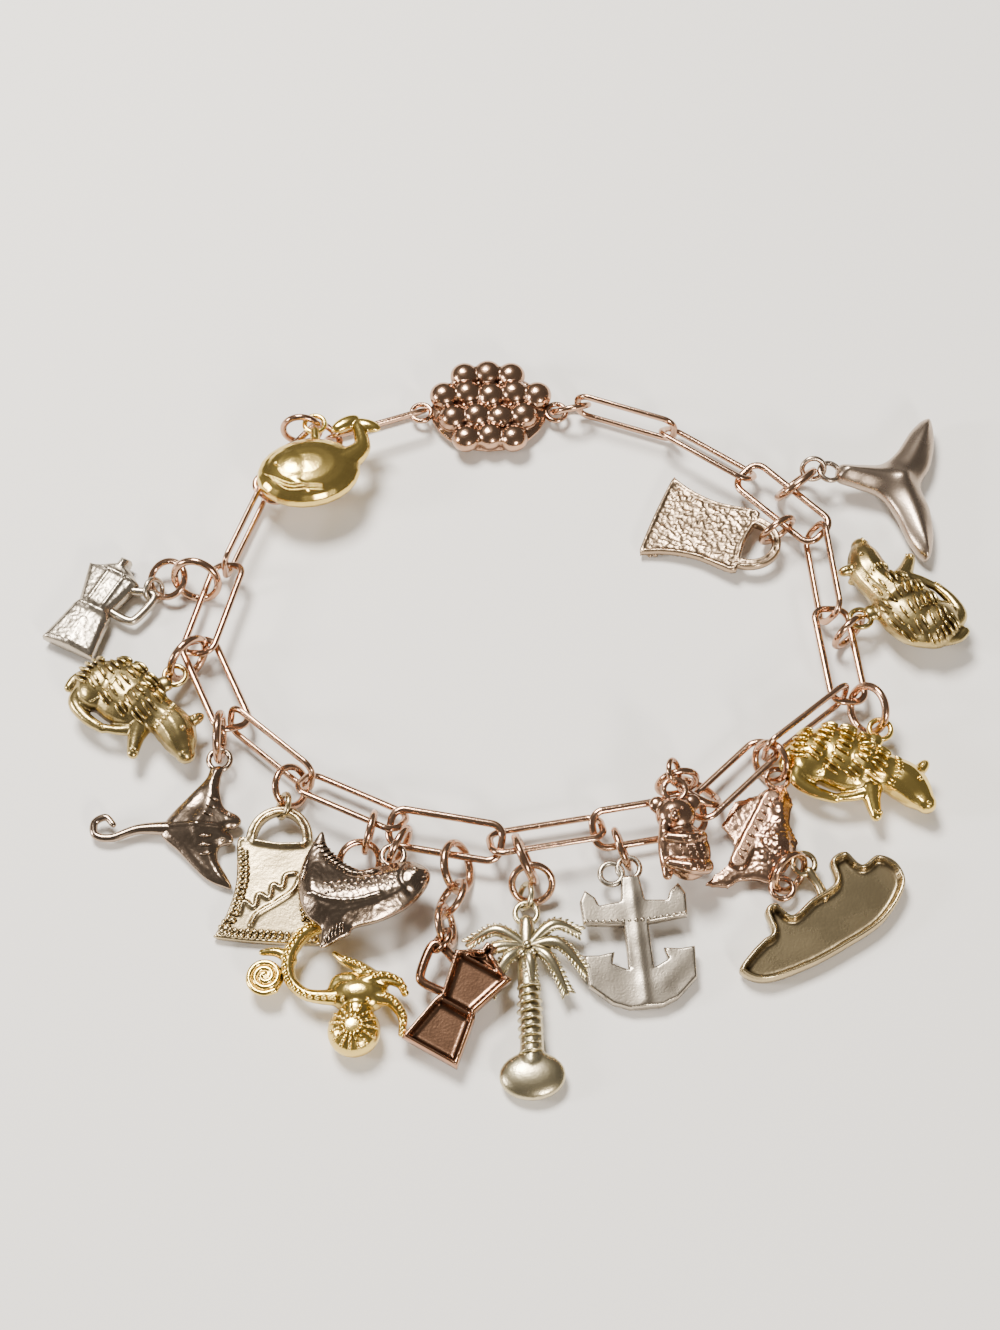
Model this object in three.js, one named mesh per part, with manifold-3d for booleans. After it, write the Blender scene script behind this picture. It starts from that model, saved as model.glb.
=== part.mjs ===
// A charm bracelet lying on a flat surface: seventeen flat-wire oblong links and a plain clasp in one closed
// loop, with eighteen cast charms hung on jump rings. Millimetres, +Z up, the surface at z = 0.
import * as THREE from "three";
import { mergeVertices } from "three/addons/utils/BufferGeometryUtils.js";
import Module from "manifold-3d";

const wasm = await Module();
wasm.setup();

// ---- Driving dimensions ----
const LINK = { length: 11.5, width: 4.3, wire: 0.74, thickness: 0.6, corner: 1.25 };
const RING = {
  big: { radius: 2.3, wire: 0.8 },
  mid: { radius: 1.9, wire: 0.7 },
  small: { radius: 1.15, wire: 0.56 },
};
const LOOP = { radius: 1.05, wire: 0.56 }; // the cast loop at the top of a charm
const BAR = { bag: 0.95, pot: 0.9 }; // thickness of the handle that a small ring is soldered round
const EYES = 14.4; // from eye to eye of the clasp
const SOLDER = 0.12; // how far a soldered ring sinks into its loop
const LOWER_LOOP = [-1.6, -11.3]; // the second loop of the landmass
const LIFT = 0.06; // clearance of a charm above the surface
const SIDES = { wire: 6, ring: 12, loop: 8 };
const BALLS = [
  { over: 2.5, around: 10, down: 6 },
  { over: 1.7, around: 8, down: 4 },
  { over: 0, around: 6, down: 4 },
];

// ---- Colours of the metals ----
const METALS = {
  rose: { color: 0x9a6a50, roughness: 0.32 },
  gold: { color: 0xc9a24a, roughness: 0.28 },
  old_gold: { color: 0x8c7436, roughness: 0.35 },
  silver: { color: 0xb0a998, roughness: 0.35 },
  pewter: { color: 0x5c5248, roughness: 0.35 },
};

const CLEAR = 0.13; // the least gap that the settling leaves between two pieces
const HIGH = 2.5; // height of a link's middle before the settling

// ---- Where the links lie before the settling: x, y, direction in plan, turn about its own length ----
const LINKS = [
  [11.5, 24, -20, -85],
  [20, 19.5, -35, -40],
  [27.5, 13, -45, 10],
  [31, 4.5, -85, 65],
  [32, -5, -85, -10],
  [28, -13, -140, -85],
  [20.5, -19, -135, 30],
  [12.5, -23.5, -170, -30],
  [2.5, -25, -170, 15],
  [-7, -25, 170, -30],
  [-16, -21.5, 155, 40],
  [-24, -16, 140, -90],
  [-30, -8.5, 115, 10],
  [-31, 0.5, 75, -35],
  [-28, 10, 70, -95],
  [-23, 18, 50, 0],
  [-15, 23.5, 20, -60],
];
const rad = THREE.MathUtils.degToRad;

// ---- Solids ----

/** A three.js geometry as a solid that can be joined and cut. */
function solid(geometry) {
  const bare = geometry.index ? geometry.toNonIndexed() : geometry.clone();
  bare.deleteAttribute("normal");
  bare.deleteAttribute("uv");
  const merged = mergeVertices(bare, 1e-4);
  return new wasm.Manifold(new wasm.Mesh({
    numProp: 3,
    vertProperties: merged.attributes.position.array,
    triVerts: new Uint32Array(merged.index.array),
  }));
}

/** A solid as a three.js geometry. */
function geometryOf(body) {
  const mesh = body.getMesh();
  const points = new Float32Array(mesh.numVert * 3);
  for (let i = 0; i < mesh.numVert; i++) {
    points.set(mesh.vertProperties.subarray(i * mesh.numProp, i * mesh.numProp + 3), i * 3);
  }
  const geometry = new THREE.BufferGeometry();
  geometry.setAttribute("position", new THREE.BufferAttribute(points, 3));
  geometry.setIndex(new THREE.BufferAttribute(mesh.triVerts, 1));
  geometry.computeVertexNormals();
  return geometry;
}

const join = (...bodies) => bodies.flat().reduce((whole, body) => whole.add(body));

/** A closed wire ring of centre-line radius `radius`, in the XY plane. */
function ringGeometry({ radius, wire }, steps = SIDES.ring) {
  return new THREE.TorusGeometry(radius, wire / 2, SIDES.wire, steps);
}

/** An ellipsoid with half-axes [rx, ry, rz] at [x, y, z], turned in plan by `turn` degrees. */
function ball([rx, ry, rz], [x, y, z], turn = 0) {
  const { around, down } = BALLS.find(({ over }) => Math.max(rx, ry) > over);
  const geometry = new THREE.SphereGeometry(1, around, down);
  geometry.rotateX(Math.PI / 2);
  geometry.scale(rx, ry, rz);
  geometry.rotateZ(rad(turn));
  geometry.translate(x, y, z);
  return solid(geometry);
}

/** A flat plate from an outline of [x, y] corners, between the heights z0 and z1. */
function plate(corners, z0, z1) {
  const shape = new THREE.Shape(corners.map(([x, y]) => new THREE.Vector2(x, y)));
  const geometry = new THREE.ExtrudeGeometry(shape, { depth: z1 - z0, bevelEnabled: false, curveSegments: 4 });
  geometry.translate(0, 0, z0);
  return solid(geometry);
}

/** A rod along a smooth line through the given points. */
function rod(points, radius, steps, sides = 6) {
  const round = new THREE.Shape();
  round.absarc(0, 0, radius, 0, 2 * Math.PI, false);
  const path = new THREE.CatmullRomCurve3(points.map((p) => new THREE.Vector3(...p)));
  return solid(new THREE.ExtrudeGeometry(round, {
    steps, extrudePath: path, bevelEnabled: false, curveSegments: sides / 2,
  }));
}

/** The cast loop of a charm, flat in the charm's plane. */
function castLoop(x = 0, y = 0) {
  return solid(ringGeometry(LOOP, SIDES.loop).translate(x, y, 0));
}

/** How far above a charm's origin the lowest point of its small ring's wire lies, before it is soldered. */
const smallReach = (bar) =>
  bar ? -(RING.small.wire + bar) / 2 : LOOP.radius - (RING.small.wire + LOOP.wire) / 2;

/** The small ring soldered into a charm's loop, or round a bar, and rolled about the charm's Y. */
function smallRing(roll, bar) {
  const rise = RING.small.radius + smallReach(bar) + SOLDER;
  return solid(ringGeometry(RING.small, SIDES.loop).rotateY(rad(roll)).translate(0, rise, 0));
}

/** Points of an arc about [cx, cy], from one angle to another in degrees. */
function arc(cx, cy, rx, ry, from, to, count) {
  return Array.from({ length: count }, (_, i) => {
    const a = rad(from + ((to - from) * i) / (count - 1));
    return [cx + rx * Math.cos(a), cy + ry * Math.sin(a)];
  });
}

// ---- Links and rings ----

/** A flat-wire link: a ring pushed out to the four corners of its straight stretches. */
function linkGeometry() {
  const geometry = ringGeometry({ radius: LINK.corner, wire: LINK.wire });
  geometry.rotateZ(Math.PI / SIDES.ring);
  const side = (LINK.length - LINK.wire) / 2 - LINK.corner;
  const end = (LINK.width - LINK.wire) / 2 - LINK.corner;
  const points = geometry.attributes.position;
  const flatten = LINK.thickness / (LINK.wire * Math.sin(Math.PI / 3));
  for (let i = 0; i < points.count; i++) {
    const x = points.getX(i);
    const y = points.getY(i);
    points.setXYZ(i, x + Math.sign(x) * side, y + Math.sign(y) * end, points.getZ(i) * flatten);
  }
  return geometry;
}

// ---- Charms: each has the point that its ring holds at its origin, up along +Y and its face to +Z ----

/** A whale's tail: a stalk from the loop to two flukes. */
function whaleTail() {
  const half = [[0.7, -0.8], [1.1, -3], [1.8, -5.6], [3.8, -7.5], [6.8, -9], [8.6, -10], [8.5, -11],
    [6, -11.3], [2.8, -10.8]];
  const outline = [...half, [0, -9.7], ...half.toReversed().map(([x, y]) => [-x, y])];
  return join(plate(outline, -0.8, 0.8), ball([2, 3.6, 1.6], [0, -6.3, 0]), castLoop());
}

/** A tote bag: concave sides and a D-shaped hand hole above a raised border. */
function toteBag() {
  const outline = [...arc(0, -3, 3.2, 3.4, 0, 180, 9), [-3.9, -3.2], [-3.6, -7.4], [-4.9, -13.2], [4.9, -13.2],
    [3.6, -7.4], [3.9, -3.2]];
  const hole = arc(0, -3, 2.2, 2.5, 0, 180, 7);
  const field = [[-3.1, -4.2], [-2.8, -7.4], [-3.9, -12.2], [3.9, -12.2], [2.8, -7.4], [3.1, -4.2]];
  return plate(outline, -0.55, 0.6).subtract(plate(hole, -1, 1)).subtract(plate(field, 0.35, 1));
}

/** A small round-bodied marsupial: body, haunch, head with an ear, feet and tail. */
function quokka() {
  return join(
    ball([4.8, 3.4, 2.2], [-2.6, -4.5, 0]),
    ball([2.4, 2.8, 2], [-5.2, -5.4, 0], 20),
    ball([3.2, 2, 1.6], [3.9, -4.8, 0], -28),
    ball([0.6, 1.1, 0.8], [4.9, -2.7, 0], -20),
    ball([2.2, 0.7, 1.1], [-3.6, -8.5, 0], -8),
    ball([0.8, 1.8, 1.1], [1.6, -7.4, 0], 24),
    ball([1, 1, 0.6], [-0.3, -1.8, 0]),
    castLoop(),
  );
}

/** A ship seen from its hollow back: hull with two deckhouses inside a raised rim. */
function ship() {
  const outline = [[-10.9, -6.2], [-7.6, -4.6], [-6.2, -4.3], [-5.7, -2.2], [-4.5, -2.1], [-3.9, -3.8],
    [-1.4, -3.3],
    [1.6, -2.9], [2.4, -0.9], [4, -0.8], [4.5, -2.6], [6.6, -2.5], [7.9, -4.2], [7, -6.6], [3.4, -8.6],
    [-5, -9], [-9.6, -8.3]];
  const pan = [[-9.6, -6.4], [-7, -5.4], [-1.4, -4.2], [3, -3.7], [6.2, -3.5], [6.9, -4.6], [6.2, -6.1],
    [3.1, -7.7], [-4.9, -8.1], [-8.9, -7.5]];
  const stalk = plate([[-0.5, -3.4], [0.5, -3.2], [0.5, -0.9], [-0.5, -0.9]], -0.4, 0.4);
  return join(plate(outline, -0.8, 0.9).subtract(plate(pan, -0.1, 2)), stalk, castLoop());
}

/** A landmass with a raised diagonal band and a lump of relief. */
function landmass() {
  const outline = [[-0.6, -0.6], [-2.2, -1.6], [-4.6, -2], [-6.2, -4.2], [-5.2, -6.4], [-6.4, -8.6],
    [-8.6, -10],
    [-6.6, -10.4], [-4.4, -9.8], [-2.6, -10.6], [-0.8, -9.4], [0.6, -7], [0.2, -5], [1, -3], [0.5, -0.9]];
  const band = [[-1.6, -1.6], [-5.9, -7.7], [-4.5, -8.6], [-0.3, -2.5]];
  return join(plate(outline, -0.6, 0.4), plate(band, 0, 0.8), ball([1.7, 2.6, 0.9], [-1.5, -7, 0.3], -25),
    castLoop(), castLoop(...LOWER_LOOP));
}

/** A small round-headed animal hugging a branch. */
function koala() {
  return join(ball([1.9, 1.8, 1.5], [0, -2.4, 0]), ball([2.4, 2.9, 1.7], [0.9, -6.2, 0], 12),
    ball([0.9, 0.9, 0.6], [-1.7, -1.4, 0]), ball([0.9, 0.9, 0.6], [1.6, -1.2, 0]), castLoop());
}

/** An anchor cut from plate: shank, upturned stock, arms and flukes. */
function anchor() {
  const half = [[0.75, -1], [0.75, -3.4], [3.4, -3.4], [3.4, -2.6], [4.9, -2.6], [4.9, -5.4],
    [0.95, -5.6], [1.1, -10.4], [2.6, -9.6], [2.4, -8.2], [5.1, -8.6], [4.9, -11.2], [3, -13.2]];
  const outline = [...half, ...half.toReversed().map(([x, y]) => [-x, y])];
  return join(plate(outline, -0.65, 0.65), castLoop(), castLoop(-1.7, -0.4));
}

/** A palm: drooping fronds on a trunk that stands on a mound. */
function palm() {
  const fronds = [-162, -132, -208, -18, -48, 28].map((a) => {
    const [dx, dy] = [Math.cos(rad(a)), Math.sin(rad(a))];
    return rod([[0, -3.6, 0.2], [3 * dx, -3.1 + 2.6 * dy, 0.5], [5.2 * dx, -4.9 + 4.4 * dy, 0]], 0.7, 3, 4);
  });
  const trunk = [[-0.75, -1], [-1.05, -13.8], [-2.5, -14.8], [-2.9, -16.4], [-1.6, -17.4], [1.6, -17.4],
    [2.9, -16.4], [2.5, -14.8], [1.05, -13.8], [0.75, -1]];
  return join(plate(trunk, -0.8, 0.8), fronds, castLoop());
}

/** A stove-top pot: two tapered parts that meet at a waist, a lid with a knob, a spout and a bent handle. */
function mokaPot() {
  const outline = [[-6.9, 0.6], [-1.6, 0.2], [-2.5, -3.9], [-2.2, -4.7], [-1.4, -9.2], [-7.2, -9.2],
    [-6.4, -4.7], [-6.1, -3.9], [-7.2, -0.8], [-7.5, 0.5]];
  const lid = [[-6.7, 0.2], [-1.8, 0], [-3, 1.2], [-3.7, 1.5], [-3.7, 2.4], [-4.9, 2.4], [-4.9, 1.5],
    [-5.6, 1.2]];
  const grip = rod([[-2, -0.6, 0], [-0.1, 0, 0], [0.5, -1.2, 0], [0, -3.4, 0], [-2.6, -3.6, 0]], 0.45, 7);
  return join(plate(outline, -1.1, 1.1), plate(lid, -0.8, 0.8), grip);
}

/** An octopus: a round mantle and curled arms, one of them wound to a disc. */
function octopus() {
  return join(
    ball([2.5, 2.5, 1.9], [2.6, -11.2, 0]),
    ball([2.8, 1.9, 1.5], [2.9, -7.6, 0]),
    rod([[0, -0.8, 0], [-2.4, -1.6, 0], [-3.8, -4, 0], [-3.5, -6.2, 0], [-1.8, -7.8, 0], [0.8, -8, 0]],
    0.6, 7),
    rod([[0.6, -3.8, 0], [2.9, -5, 0], [4.2, -6.6, 0]], 0.45, 3),
    rod([[4.6, -7, 0], [6.6, -6.6, 0], [7, -8.6, 0], [6.8, -11.2, 0]], 0.55, 4),
    rod([[-3.6, -4, 0], [-5, -3.6, 0], [-6.3, -3.7, 0]], 0.4, 3),
    plate(arc(-5.8, -6, 1.9, 1.9, 0, 324, 10), -0.7, 0.7),
    castLoop(),
  );
}

/** A leaping fish: curved body, forked tail, back and belly fins. */
function fish() {
  const body = [[-9.2, -3.2], [-8.6, -1.6], [-6.4, -1.5], [-4, -1], [-1, -0.6], [1.4, -0.8], [3, -2],
    [2.8, -3.4], [1.2, -5], [-2, -6.4], [-5, -6.8], [-7.4, -6], [-8.8, -4.8]];
  const tail = [[-9.2, -3], [-8.9, -0.6], [-7.6, 1.6], [-6.2, 3.4], [-5.9, 1.8], [-4.9, 0.2], [-4, -1.2]];
  const fin = [[-8, -5.6], [-7.8, -8.2], [-6, -7.6], [-4.8, -6.4]];
  return join(plate(body, -0.7, 0.6), ball([5.4, 2.6, 1.4], [-3.2, -3.8, 0], 4), plate(tail, -0.5, 0.5),
    plate(fin, -0.5, 0.5), castLoop());
}

/** A manta ray: swept wings, two head lobes and a tail curled into a loop. */
function manta() {
  const outline = [[0.6, -0.7], [0.1, -3], [1.2, -5.2], [2.7, -6], [2.8, -6.9], [1.7, -7.3], [2.6, -8],
    [2.1, -8.8],
    [1.2, -9], [1.8, -10.6], [3.4, -12.9], [0.6, -12], [-2.6, -9.6], [-4.4, -8.2], [-3.8, -6.2], [-2.2, -4],
    [-0.6, -0.9]];
  return join(plate(outline, -0.5, 0.5), ball([3.6, 2.6, 1.3], [-0.6, -7.2, 0]), castLoop(),
    rod([[-3.6, -7.4, 0], [-7, -7.9, 0], [-9.4, -9.4, 0], [-10.6, -8.4, 0.2], [-9.2, -7, 0.4]], 0.5, 6));
}

/** A plump little whale with its tail curled up over its back. */
function whale() {
  return join(ball([5.5, 4.2, 2.1], [-0.6, -6.2, 0], 8),
    rod([[2.8, -5, 0], [5, -2.4, 0], [4.4, -0.2, 0]], 0.9, 3),
    ball([2.4, 1, 0.8], [4.2, -0.2, 0], 25), ball([1.6, 0.8, 1], [-2.4, -9.4, 0.5], -35), castLoop(),
    rod([[0, -0.9, 0], [0, -2.8, 0]], 0.5, 1));
}

/** The closed clasp: a plain plate with an eye at each end, covered with fused grains. */
function clasp() {
  const rows = [
    { y: 4.1, from: -2.6, count: 3 },
    { y: 1.6, from: -4.8, count: 5 },
    { y: -1.2, from: -3.8, count: 4 },
    { y: -3.8, from: -2.4, count: 3 },
  ];
  const grains = rows.flatMap(({ y, from, count }) => Array.from({ length: count }, (_, i) =>
    ball([1.6, 1.6, 1.3], [from + 2.5 * i, y + 0.3 * (i % 2), 0.9])));
  const pan = plate([[-6.4, -1], [-4.6, -3.6], [-1.8, -5], [2.6, -5], [4.8, -2.4], [6.4, -1], [6.4, 1.2],
    [4.4, 4.4], [2, 5.4], [-2.6, 5.4], [-4.8, 3.6], [-6.4, 1.2]], -1, 0.4);
  const eyes = [-EYES / 2, EYES / 2].map((x) => castLoop(x, 0));
  return join(pan, grains, eyes);
}

// ---- Charms and clasp before the settling ----
// x, y: where the charm's own loop lies; on: what its first ring goes round; rings: its jump rings; small: the
// roll of the small ring soldered into its loop, or round a handle as thick as `bar`; flat: it rests on its
// flat side
const CHARMS = [
  { name: "whale_tail", make: whaleTail, metal: "pewter", x: 32.5, y: 16.5, heading: 85, roll: 10,
    on: "link_03", rings: ["big"], small: -55 },
  { name: "tote_bag_back", make: toteBag, metal: "old_gold", x: 27, y: 8.5, heading: -115, roll: 5,
    on: "link_03", rings: ["mid"], flip: true },
  { name: "quokka_upper", make: quokka, metal: "old_gold", x: 33.5, y: -2, heading: 130, roll: 0,
    on: "link_05", rings: ["mid"] },
  { name: "quokka_lower", make: quokka, metal: "gold", x: 35.5, y: -14, heading: -20, roll: 0,
    on: "link_05", rings: ["big"] },
  { name: "landmass", make: landmass, metal: "rose", x: 25, y: -18, heading: 5, roll: 5,
    on: "link_06", rings: ["mid"] },
  { name: "ship", make: ship, metal: "silver", x: 26.5, y: -28, heading: 30, roll: 5,
    on: "landmass", rings: ["mid"] },
  { name: "koala", make: koala, metal: "rose", x: 15, y: -21.5, heading: 0, roll: 10,
    on: "link_07", rings: ["big", "mid"], lift: 2, small: 60 },
  { name: "anchor", make: anchor, metal: "silver", x: 10.5, y: -29, heading: 5, roll: 5,
    on: "link_08", rings: ["mid"] },
  { name: "palm", make: palm, metal: "silver", x: 1, y: -33.5, heading: 0, roll: 5,
    on: "link_09", rings: ["big", "mid"], small: -60 },
  { name: "moka_pot_rose", make: mokaPot, metal: "rose", x: -7.5, y: -36.5, heading: -30, roll: 0,
    on: "link_10", rings: ["big", "mid", "mid"], flip: true, small: -60, bar: BAR.pot },
  { name: "fish", make: fish, metal: "pewter", x: -12, y: -27.5, heading: 5, roll: 0,
    on: "link_10", rings: ["mid"], lift: 2 },
  { name: "octopus", make: octopus, metal: "gold", x: -17.5, y: -33.5, heading: 0, roll: 5,
    on: "link_11", rings: ["mid", "mid", "mid"], small: 60 },
  { name: "tote_bag_front", make: toteBag, metal: "silver", x: -23.5, y: -21.5, heading: -5, roll: 5,
    on: "link_12", rings: ["mid"], small: -60, bar: BAR.bag },
  { name: "manta", make: manta, metal: "pewter", x: -29, y: -16.5, heading: -5, roll: 5,
    on: "link_13", rings: ["big"] },
  { name: "quokka_left", make: quokka, metal: "old_gold", x: -34, y: -7.5, heading: -35, roll: 0,
    on: "link_14", rings: ["big"] },
  { name: "moka_pot_silver", make: mokaPot, metal: "silver", x: -37.5, y: 3, heading: -25, roll: 0,
    on: "link_14", rings: ["big", "mid"], small: 60, bar: BAR.pot, flat: true },
  { name: "whale", make: whale, metal: "gold", x: -22, y: 21.5, heading: 0, roll: 0,
    on: "link_16", rings: ["mid"], lift: 2.5 },
  { name: "clasp", make: clasp, metal: "rose", x: -3, y: 25.5, heading: 0, roll: 0,
    on: "link_01", rings: ["mid"] },
];

// ---- Settling: every piece is nudged about its round place until wires pass through each other as the chain
// needs and no two pieces touch ----

const NUDGES = { ring: 24, charm: 16, link: 6 }; // tries for each kind of piece in a round
const ROUNDS = { cooling: 80, most: 150 };
const STUCK = 0.45; // how far a piece that still crowds another is nudged
const THROW = 0.25; // how often a ring is thrown anew
const THROWN = 1.6; // how far it is thrown
const WARMTH = 0.05; // how readily a worse place is taken at the start
const EASY = 0.01; // crowding that is let be
const FACETS = 0.03; // what the facets of two wires add to the gap between them
const CROWDED = { start: 0.1, growth: 1.2 }; // what an overlap costs, and how that grows with its size in mm
const ASTRAY = { start: 3, growth: 2 }; // what a line that misses its window costs, and how that grows
const SUNK = 5; // what a millimetre under the surface costs
const RISEN = 0.01; // what a millimetre above the surface costs a ring

// How strongly a kind of piece holds to its place in plan, its direction, its roll and its height
const HOLD = {
  ring: { plan: 0.002, heading: 0, roll: 0, height: 0 },
  charm: { plan: 0.05, heading: 0.0008, roll: 0.0015, height: 0.15 },
  link: { plan: 3, heading: 0.02, roll: 0.0004, height: 0.1 },
};

// How far a nudge moves a kind of piece: a share of the reach in plan, degrees of roll and heading, and the share
// of that for its height
const STEP = {
  ring: { plan: 1, roll: 18, heading: 25, height: 0.7 },
  charm: { plan: 1, roll: 4, heading: 5, height: 0.5 },
  link: { plan: 0.25, roll: 25, heading: 3, height: 0.7 },
};
const ROLLS = [-3, 20]; // the range of a charm's roll

/** Repeatable chance: `share` gives numbers from 0 to 1, and `nudge` small ones about 0. */
function makeDice(seed) {
  let state = seed;
  const share = () => {
    state = (state * 1664525 + 1013904223) % 4294967296;
    return state / 4294967296;
  };
  return { share, nudge: () => (share() + share() + share() - 1.5) * 1.3 };
}

const dice = makeDice(11);

/** The centre line of a ring of that radius about a point of the XY plane. */
function circle(radius, [cx, cy] = [0, 0], count = 24) {
  return Array.from({ length: count }, (_, i) => {
    const a = (2 * Math.PI * i) / count;
    return new THREE.Vector3(cx + radius * Math.cos(a), cy + radius * Math.sin(a), 0);
  });
}

/** The centre line of a link. */
function oblong() {
  const side = (LINK.length - LINK.wire) / 2 - LINK.corner;
  const end = (LINK.width - LINK.wire) / 2 - LINK.corner;
  const corners = [[side, end, 0], [-side, end, 90], [-side, -end, 180], [side, -end, 270]]
    .flatMap(([x, y, from]) => arc(x, y, LINK.corner, LINK.corner, from, from + 90, 4));
  return corners.flatMap(([x, y], i) => {
    const [u, v] = corners[(i + 1) % corners.length];
    const count = Math.max(1, Math.round(Math.hypot(u - x, v - y) / 0.5));
    return Array.from({ length: count }, (_, k) =>
      new THREE.Vector3(x + ((u - x) * k) / count, y + ((v - y) * k) / count, 0));
  });
}

/** The line by which a charm's last ring holds it: its small ring, its handle or its own loop. */
function heldLine({ make, small, bar }) {
  if (small) {
    const rise = RING.small.radius + smallReach(bar) + SOLDER;
    const upright = new THREE.Vector3(0, 1, 0);
    return circle(RING.small.radius).map((p) => p.applyAxisAngle(upright, rad(small)).setY(p.y + rise));
  }
  if (make === toteBag) return arc(0, -3, 2.7, 2.95, 0, 180, 13).map(([x, y]) => new THREE.Vector3(x, y, 0));
  return circle(LOOP.radius);
}

/** Works out where a piece's points are at its present place. */
function lay(piece) {
  const { x, y, z, lift, heading, roll, flip } = piece.place;
  const angles = new THREE.Euler(rad(roll), flip ? Math.PI : 0, rad(heading), "ZXY");
  const turn = new THREE.Quaternion().setFromEuler(angles);
  const turned = new THREE.Matrix4().makeRotationFromQuaternion(turn);
  let height = z;
  if (piece.kind === "charm") {
    const [, , a, , , , b, , , , c] = turned.elements;
    height = lift + LIFT - Math.min(...piece.points.map((p) => a * p.x + b * p.y + c * p.z));
  }
  piece.centre = new THREE.Vector3(x, y, height);
  piece.matrix = turned.setPosition(piece.centre);
  piece.back = piece.matrix.clone().invert();
  piece.lines = Object.fromEntries(Object.entries(piece.ownLines).map(([name, line]) =>
    [name, line.map((p) => p.clone().applyMatrix4(piece.matrix))]));
  piece.laid?.delete();
  piece.laid = null;
}

/** A piece's solid at its present place. */
function laidBody(piece) {
  piece.laid ??= piece.body.transform(piece.matrix.elements);
  return piece.laid;
}

/** How much two pieces crowd each other. */
function crowding(a, b) {
  if (a.centre.distanceTo(b.centre) > a.reach + b.reach + 1) return 0;
  if (a.wire && b.wire) {
    let nearest = Infinity;
    for (const p of a.lines.top) {
      for (const q of b.lines.top) nearest = Math.min(nearest, p.distanceToSquared(q));
    }
    return Math.max(0, CLEAR + FACETS + (a.wire + b.wire) / 2 - Math.sqrt(nearest));
  }
  const [one, two] = [laidBody(a), laidBody(b)];
  const [here, there] = [one.boundingBox(), two.boundingBox()];
  const apart = [0, 1, 2].some((k) =>
    here.min[k] > there.max[k] + CLEAR || there.min[k] > here.max[k] + CLEAR);
  if (apart) return 0;
  const gap = one.minGap(two, CLEAR + FACETS);
  if (gap > 1e-6) return Math.max(0, CLEAR - gap);
  const common = one.intersect(two);
  const volume = Math.max(0, common.volume());
  common.delete();
  return CLEAR + CROWDED.start + CROWDED.growth * Math.cbrt(volume);
}

/** Nothing where a line of `inner` passes through the window of `outer`, otherwise how far it is from that. */
function unthreaded({ outer, inner, line }) {
  const points = inner.lines[line].map((p) => p.clone().applyMatrix4(outer.back));
  let passes = 0;
  let nearest = Infinity;
  points.forEach((p, i) => {
    const q = points[(i + 1) % points.length];
    if (p.z > 0 === q.z > 0) return;
    const share = p.z / (p.z - q.z);
    const edge = outer.window(p.x + (q.x - p.x) * share, p.y + (q.y - p.y) * share);
    if (edge < 0) passes += 1;
    nearest = Math.min(nearest, Math.abs(edge));
  });
  if (nearest === Infinity) nearest = 2 + Math.min(...points.map((p) => Math.abs(p.z)));
  return passes % 2 ? 0 : ASTRAY.start + ASTRAY.growth * nearest;
}

/** How far a piece is from where it wants to lie. */
function unrest({ kind, place, goal, half, wire }) {
  const hold = HOLD[kind];
  const turn = ((((place.heading - goal.heading) % 360) + 540) % 360) - 180;
  const aside = hold.plan * ((place.x - goal.x) ** 2 + (place.y - goal.y) ** 2);
  const turned = hold.heading * turn ** 2 + hold.roll * (place.roll - goal.roll) ** 2;
  if (kind === "charm") return aside + turned + hold.height * (place.lift - goal.lift) ** 2;
  const above = place.z - Math.abs(Math.sin(rad(place.roll))) * half - wire / 2 - LIFT;
  const raised = kind === "ring" ? RISEN * Math.max(0, above) : hold.height * (place.z - HIGH) ** 2;
  return aside + turned + raised + SUNK * Math.max(0, -above);
}

/** How badly a piece lies. */
function trouble(piece, pieces) {
  let sum = unrest(piece);
  for (const other of pieces) if (other !== piece) sum += 2 * crowding(piece, other);
  for (const joint of piece.joints) sum += unthreaded(joint);
  return sum;
}

/** A nearby place for a piece. A ring is now and then thrown anew about its round place. */
function nudged({ kind, place, goal }, reach) {
  const near = { ...place };
  if (kind === "ring" && dice.share() < THROW * reach) {
    near.x = goal.x + THROWN * dice.nudge();
    near.y = goal.y + THROWN * dice.nudge();
    near.z = goal.z + dice.nudge();
    near.heading = 360 * dice.share();
    near.roll = 180 * dice.share();
    return near;
  }
  const step = STEP[kind];
  const far = reach * (dice.share() < 0.3 ? 0.3 : 1) * step.plan;
  if (dice.share() < 0.7) {
    near.x += dice.nudge() * far;
    near.y += dice.nudge() * far;
  }
  if (kind !== "charm" && dice.share() < 0.5) near.z += dice.nudge() * far * step.height;
  if (dice.share() < 0.5) near.roll += dice.nudge() * far * step.roll;
  if (dice.share() < 0.5) near.heading += dice.nudge() * far * step.heading;
  if (kind === "charm") {
    if (dice.share() < 0.4) near.lift = Math.max(0, near.lift + dice.nudge() * far * step.height);
    near.roll = THREE.MathUtils.clamp(near.roll, ...ROLLS);
  }
  if (place.flat) [near.roll, near.lift] = [goal.roll, goal.lift];
  return near;
}

/** Nudges the pieces, less and less, until they lie free of each other. */
function settle(pieces) {
  for (let round = 0; round < ROUNDS.most; round += 1) {
    const left = Math.max(0, 1 - round / ROUNDS.cooling);
    let stuck = 0;
    for (const piece of pieces) {
      let worst = trouble(piece, pieces);
      const free = worst - unrest(piece) < EASY;
      if (!free) stuck += 1;
      if (free && dice.share() < 0.7) continue;
      const reach = Math.max(0.9 * left ** 1.2, free ? 0 : STUCK) + 0.05;
      for (let i = 0; i < NUDGES[piece.kind]; i += 1) {
        const before = piece.place;
        piece.place = nudged(piece, reach);
        lay(piece);
        const now = trouble(piece, pieces);
        if (now <= worst || dice.share() < Math.exp((worst - now) / (WARMTH * left ** 2 + 1e-6))) {
          worst = now;
        } else {
          piece.place = before;
          lay(piece);
        }
      }
    }
    if (!left && !stuck) return;
  }
}

// ---- Assembly ----

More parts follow.
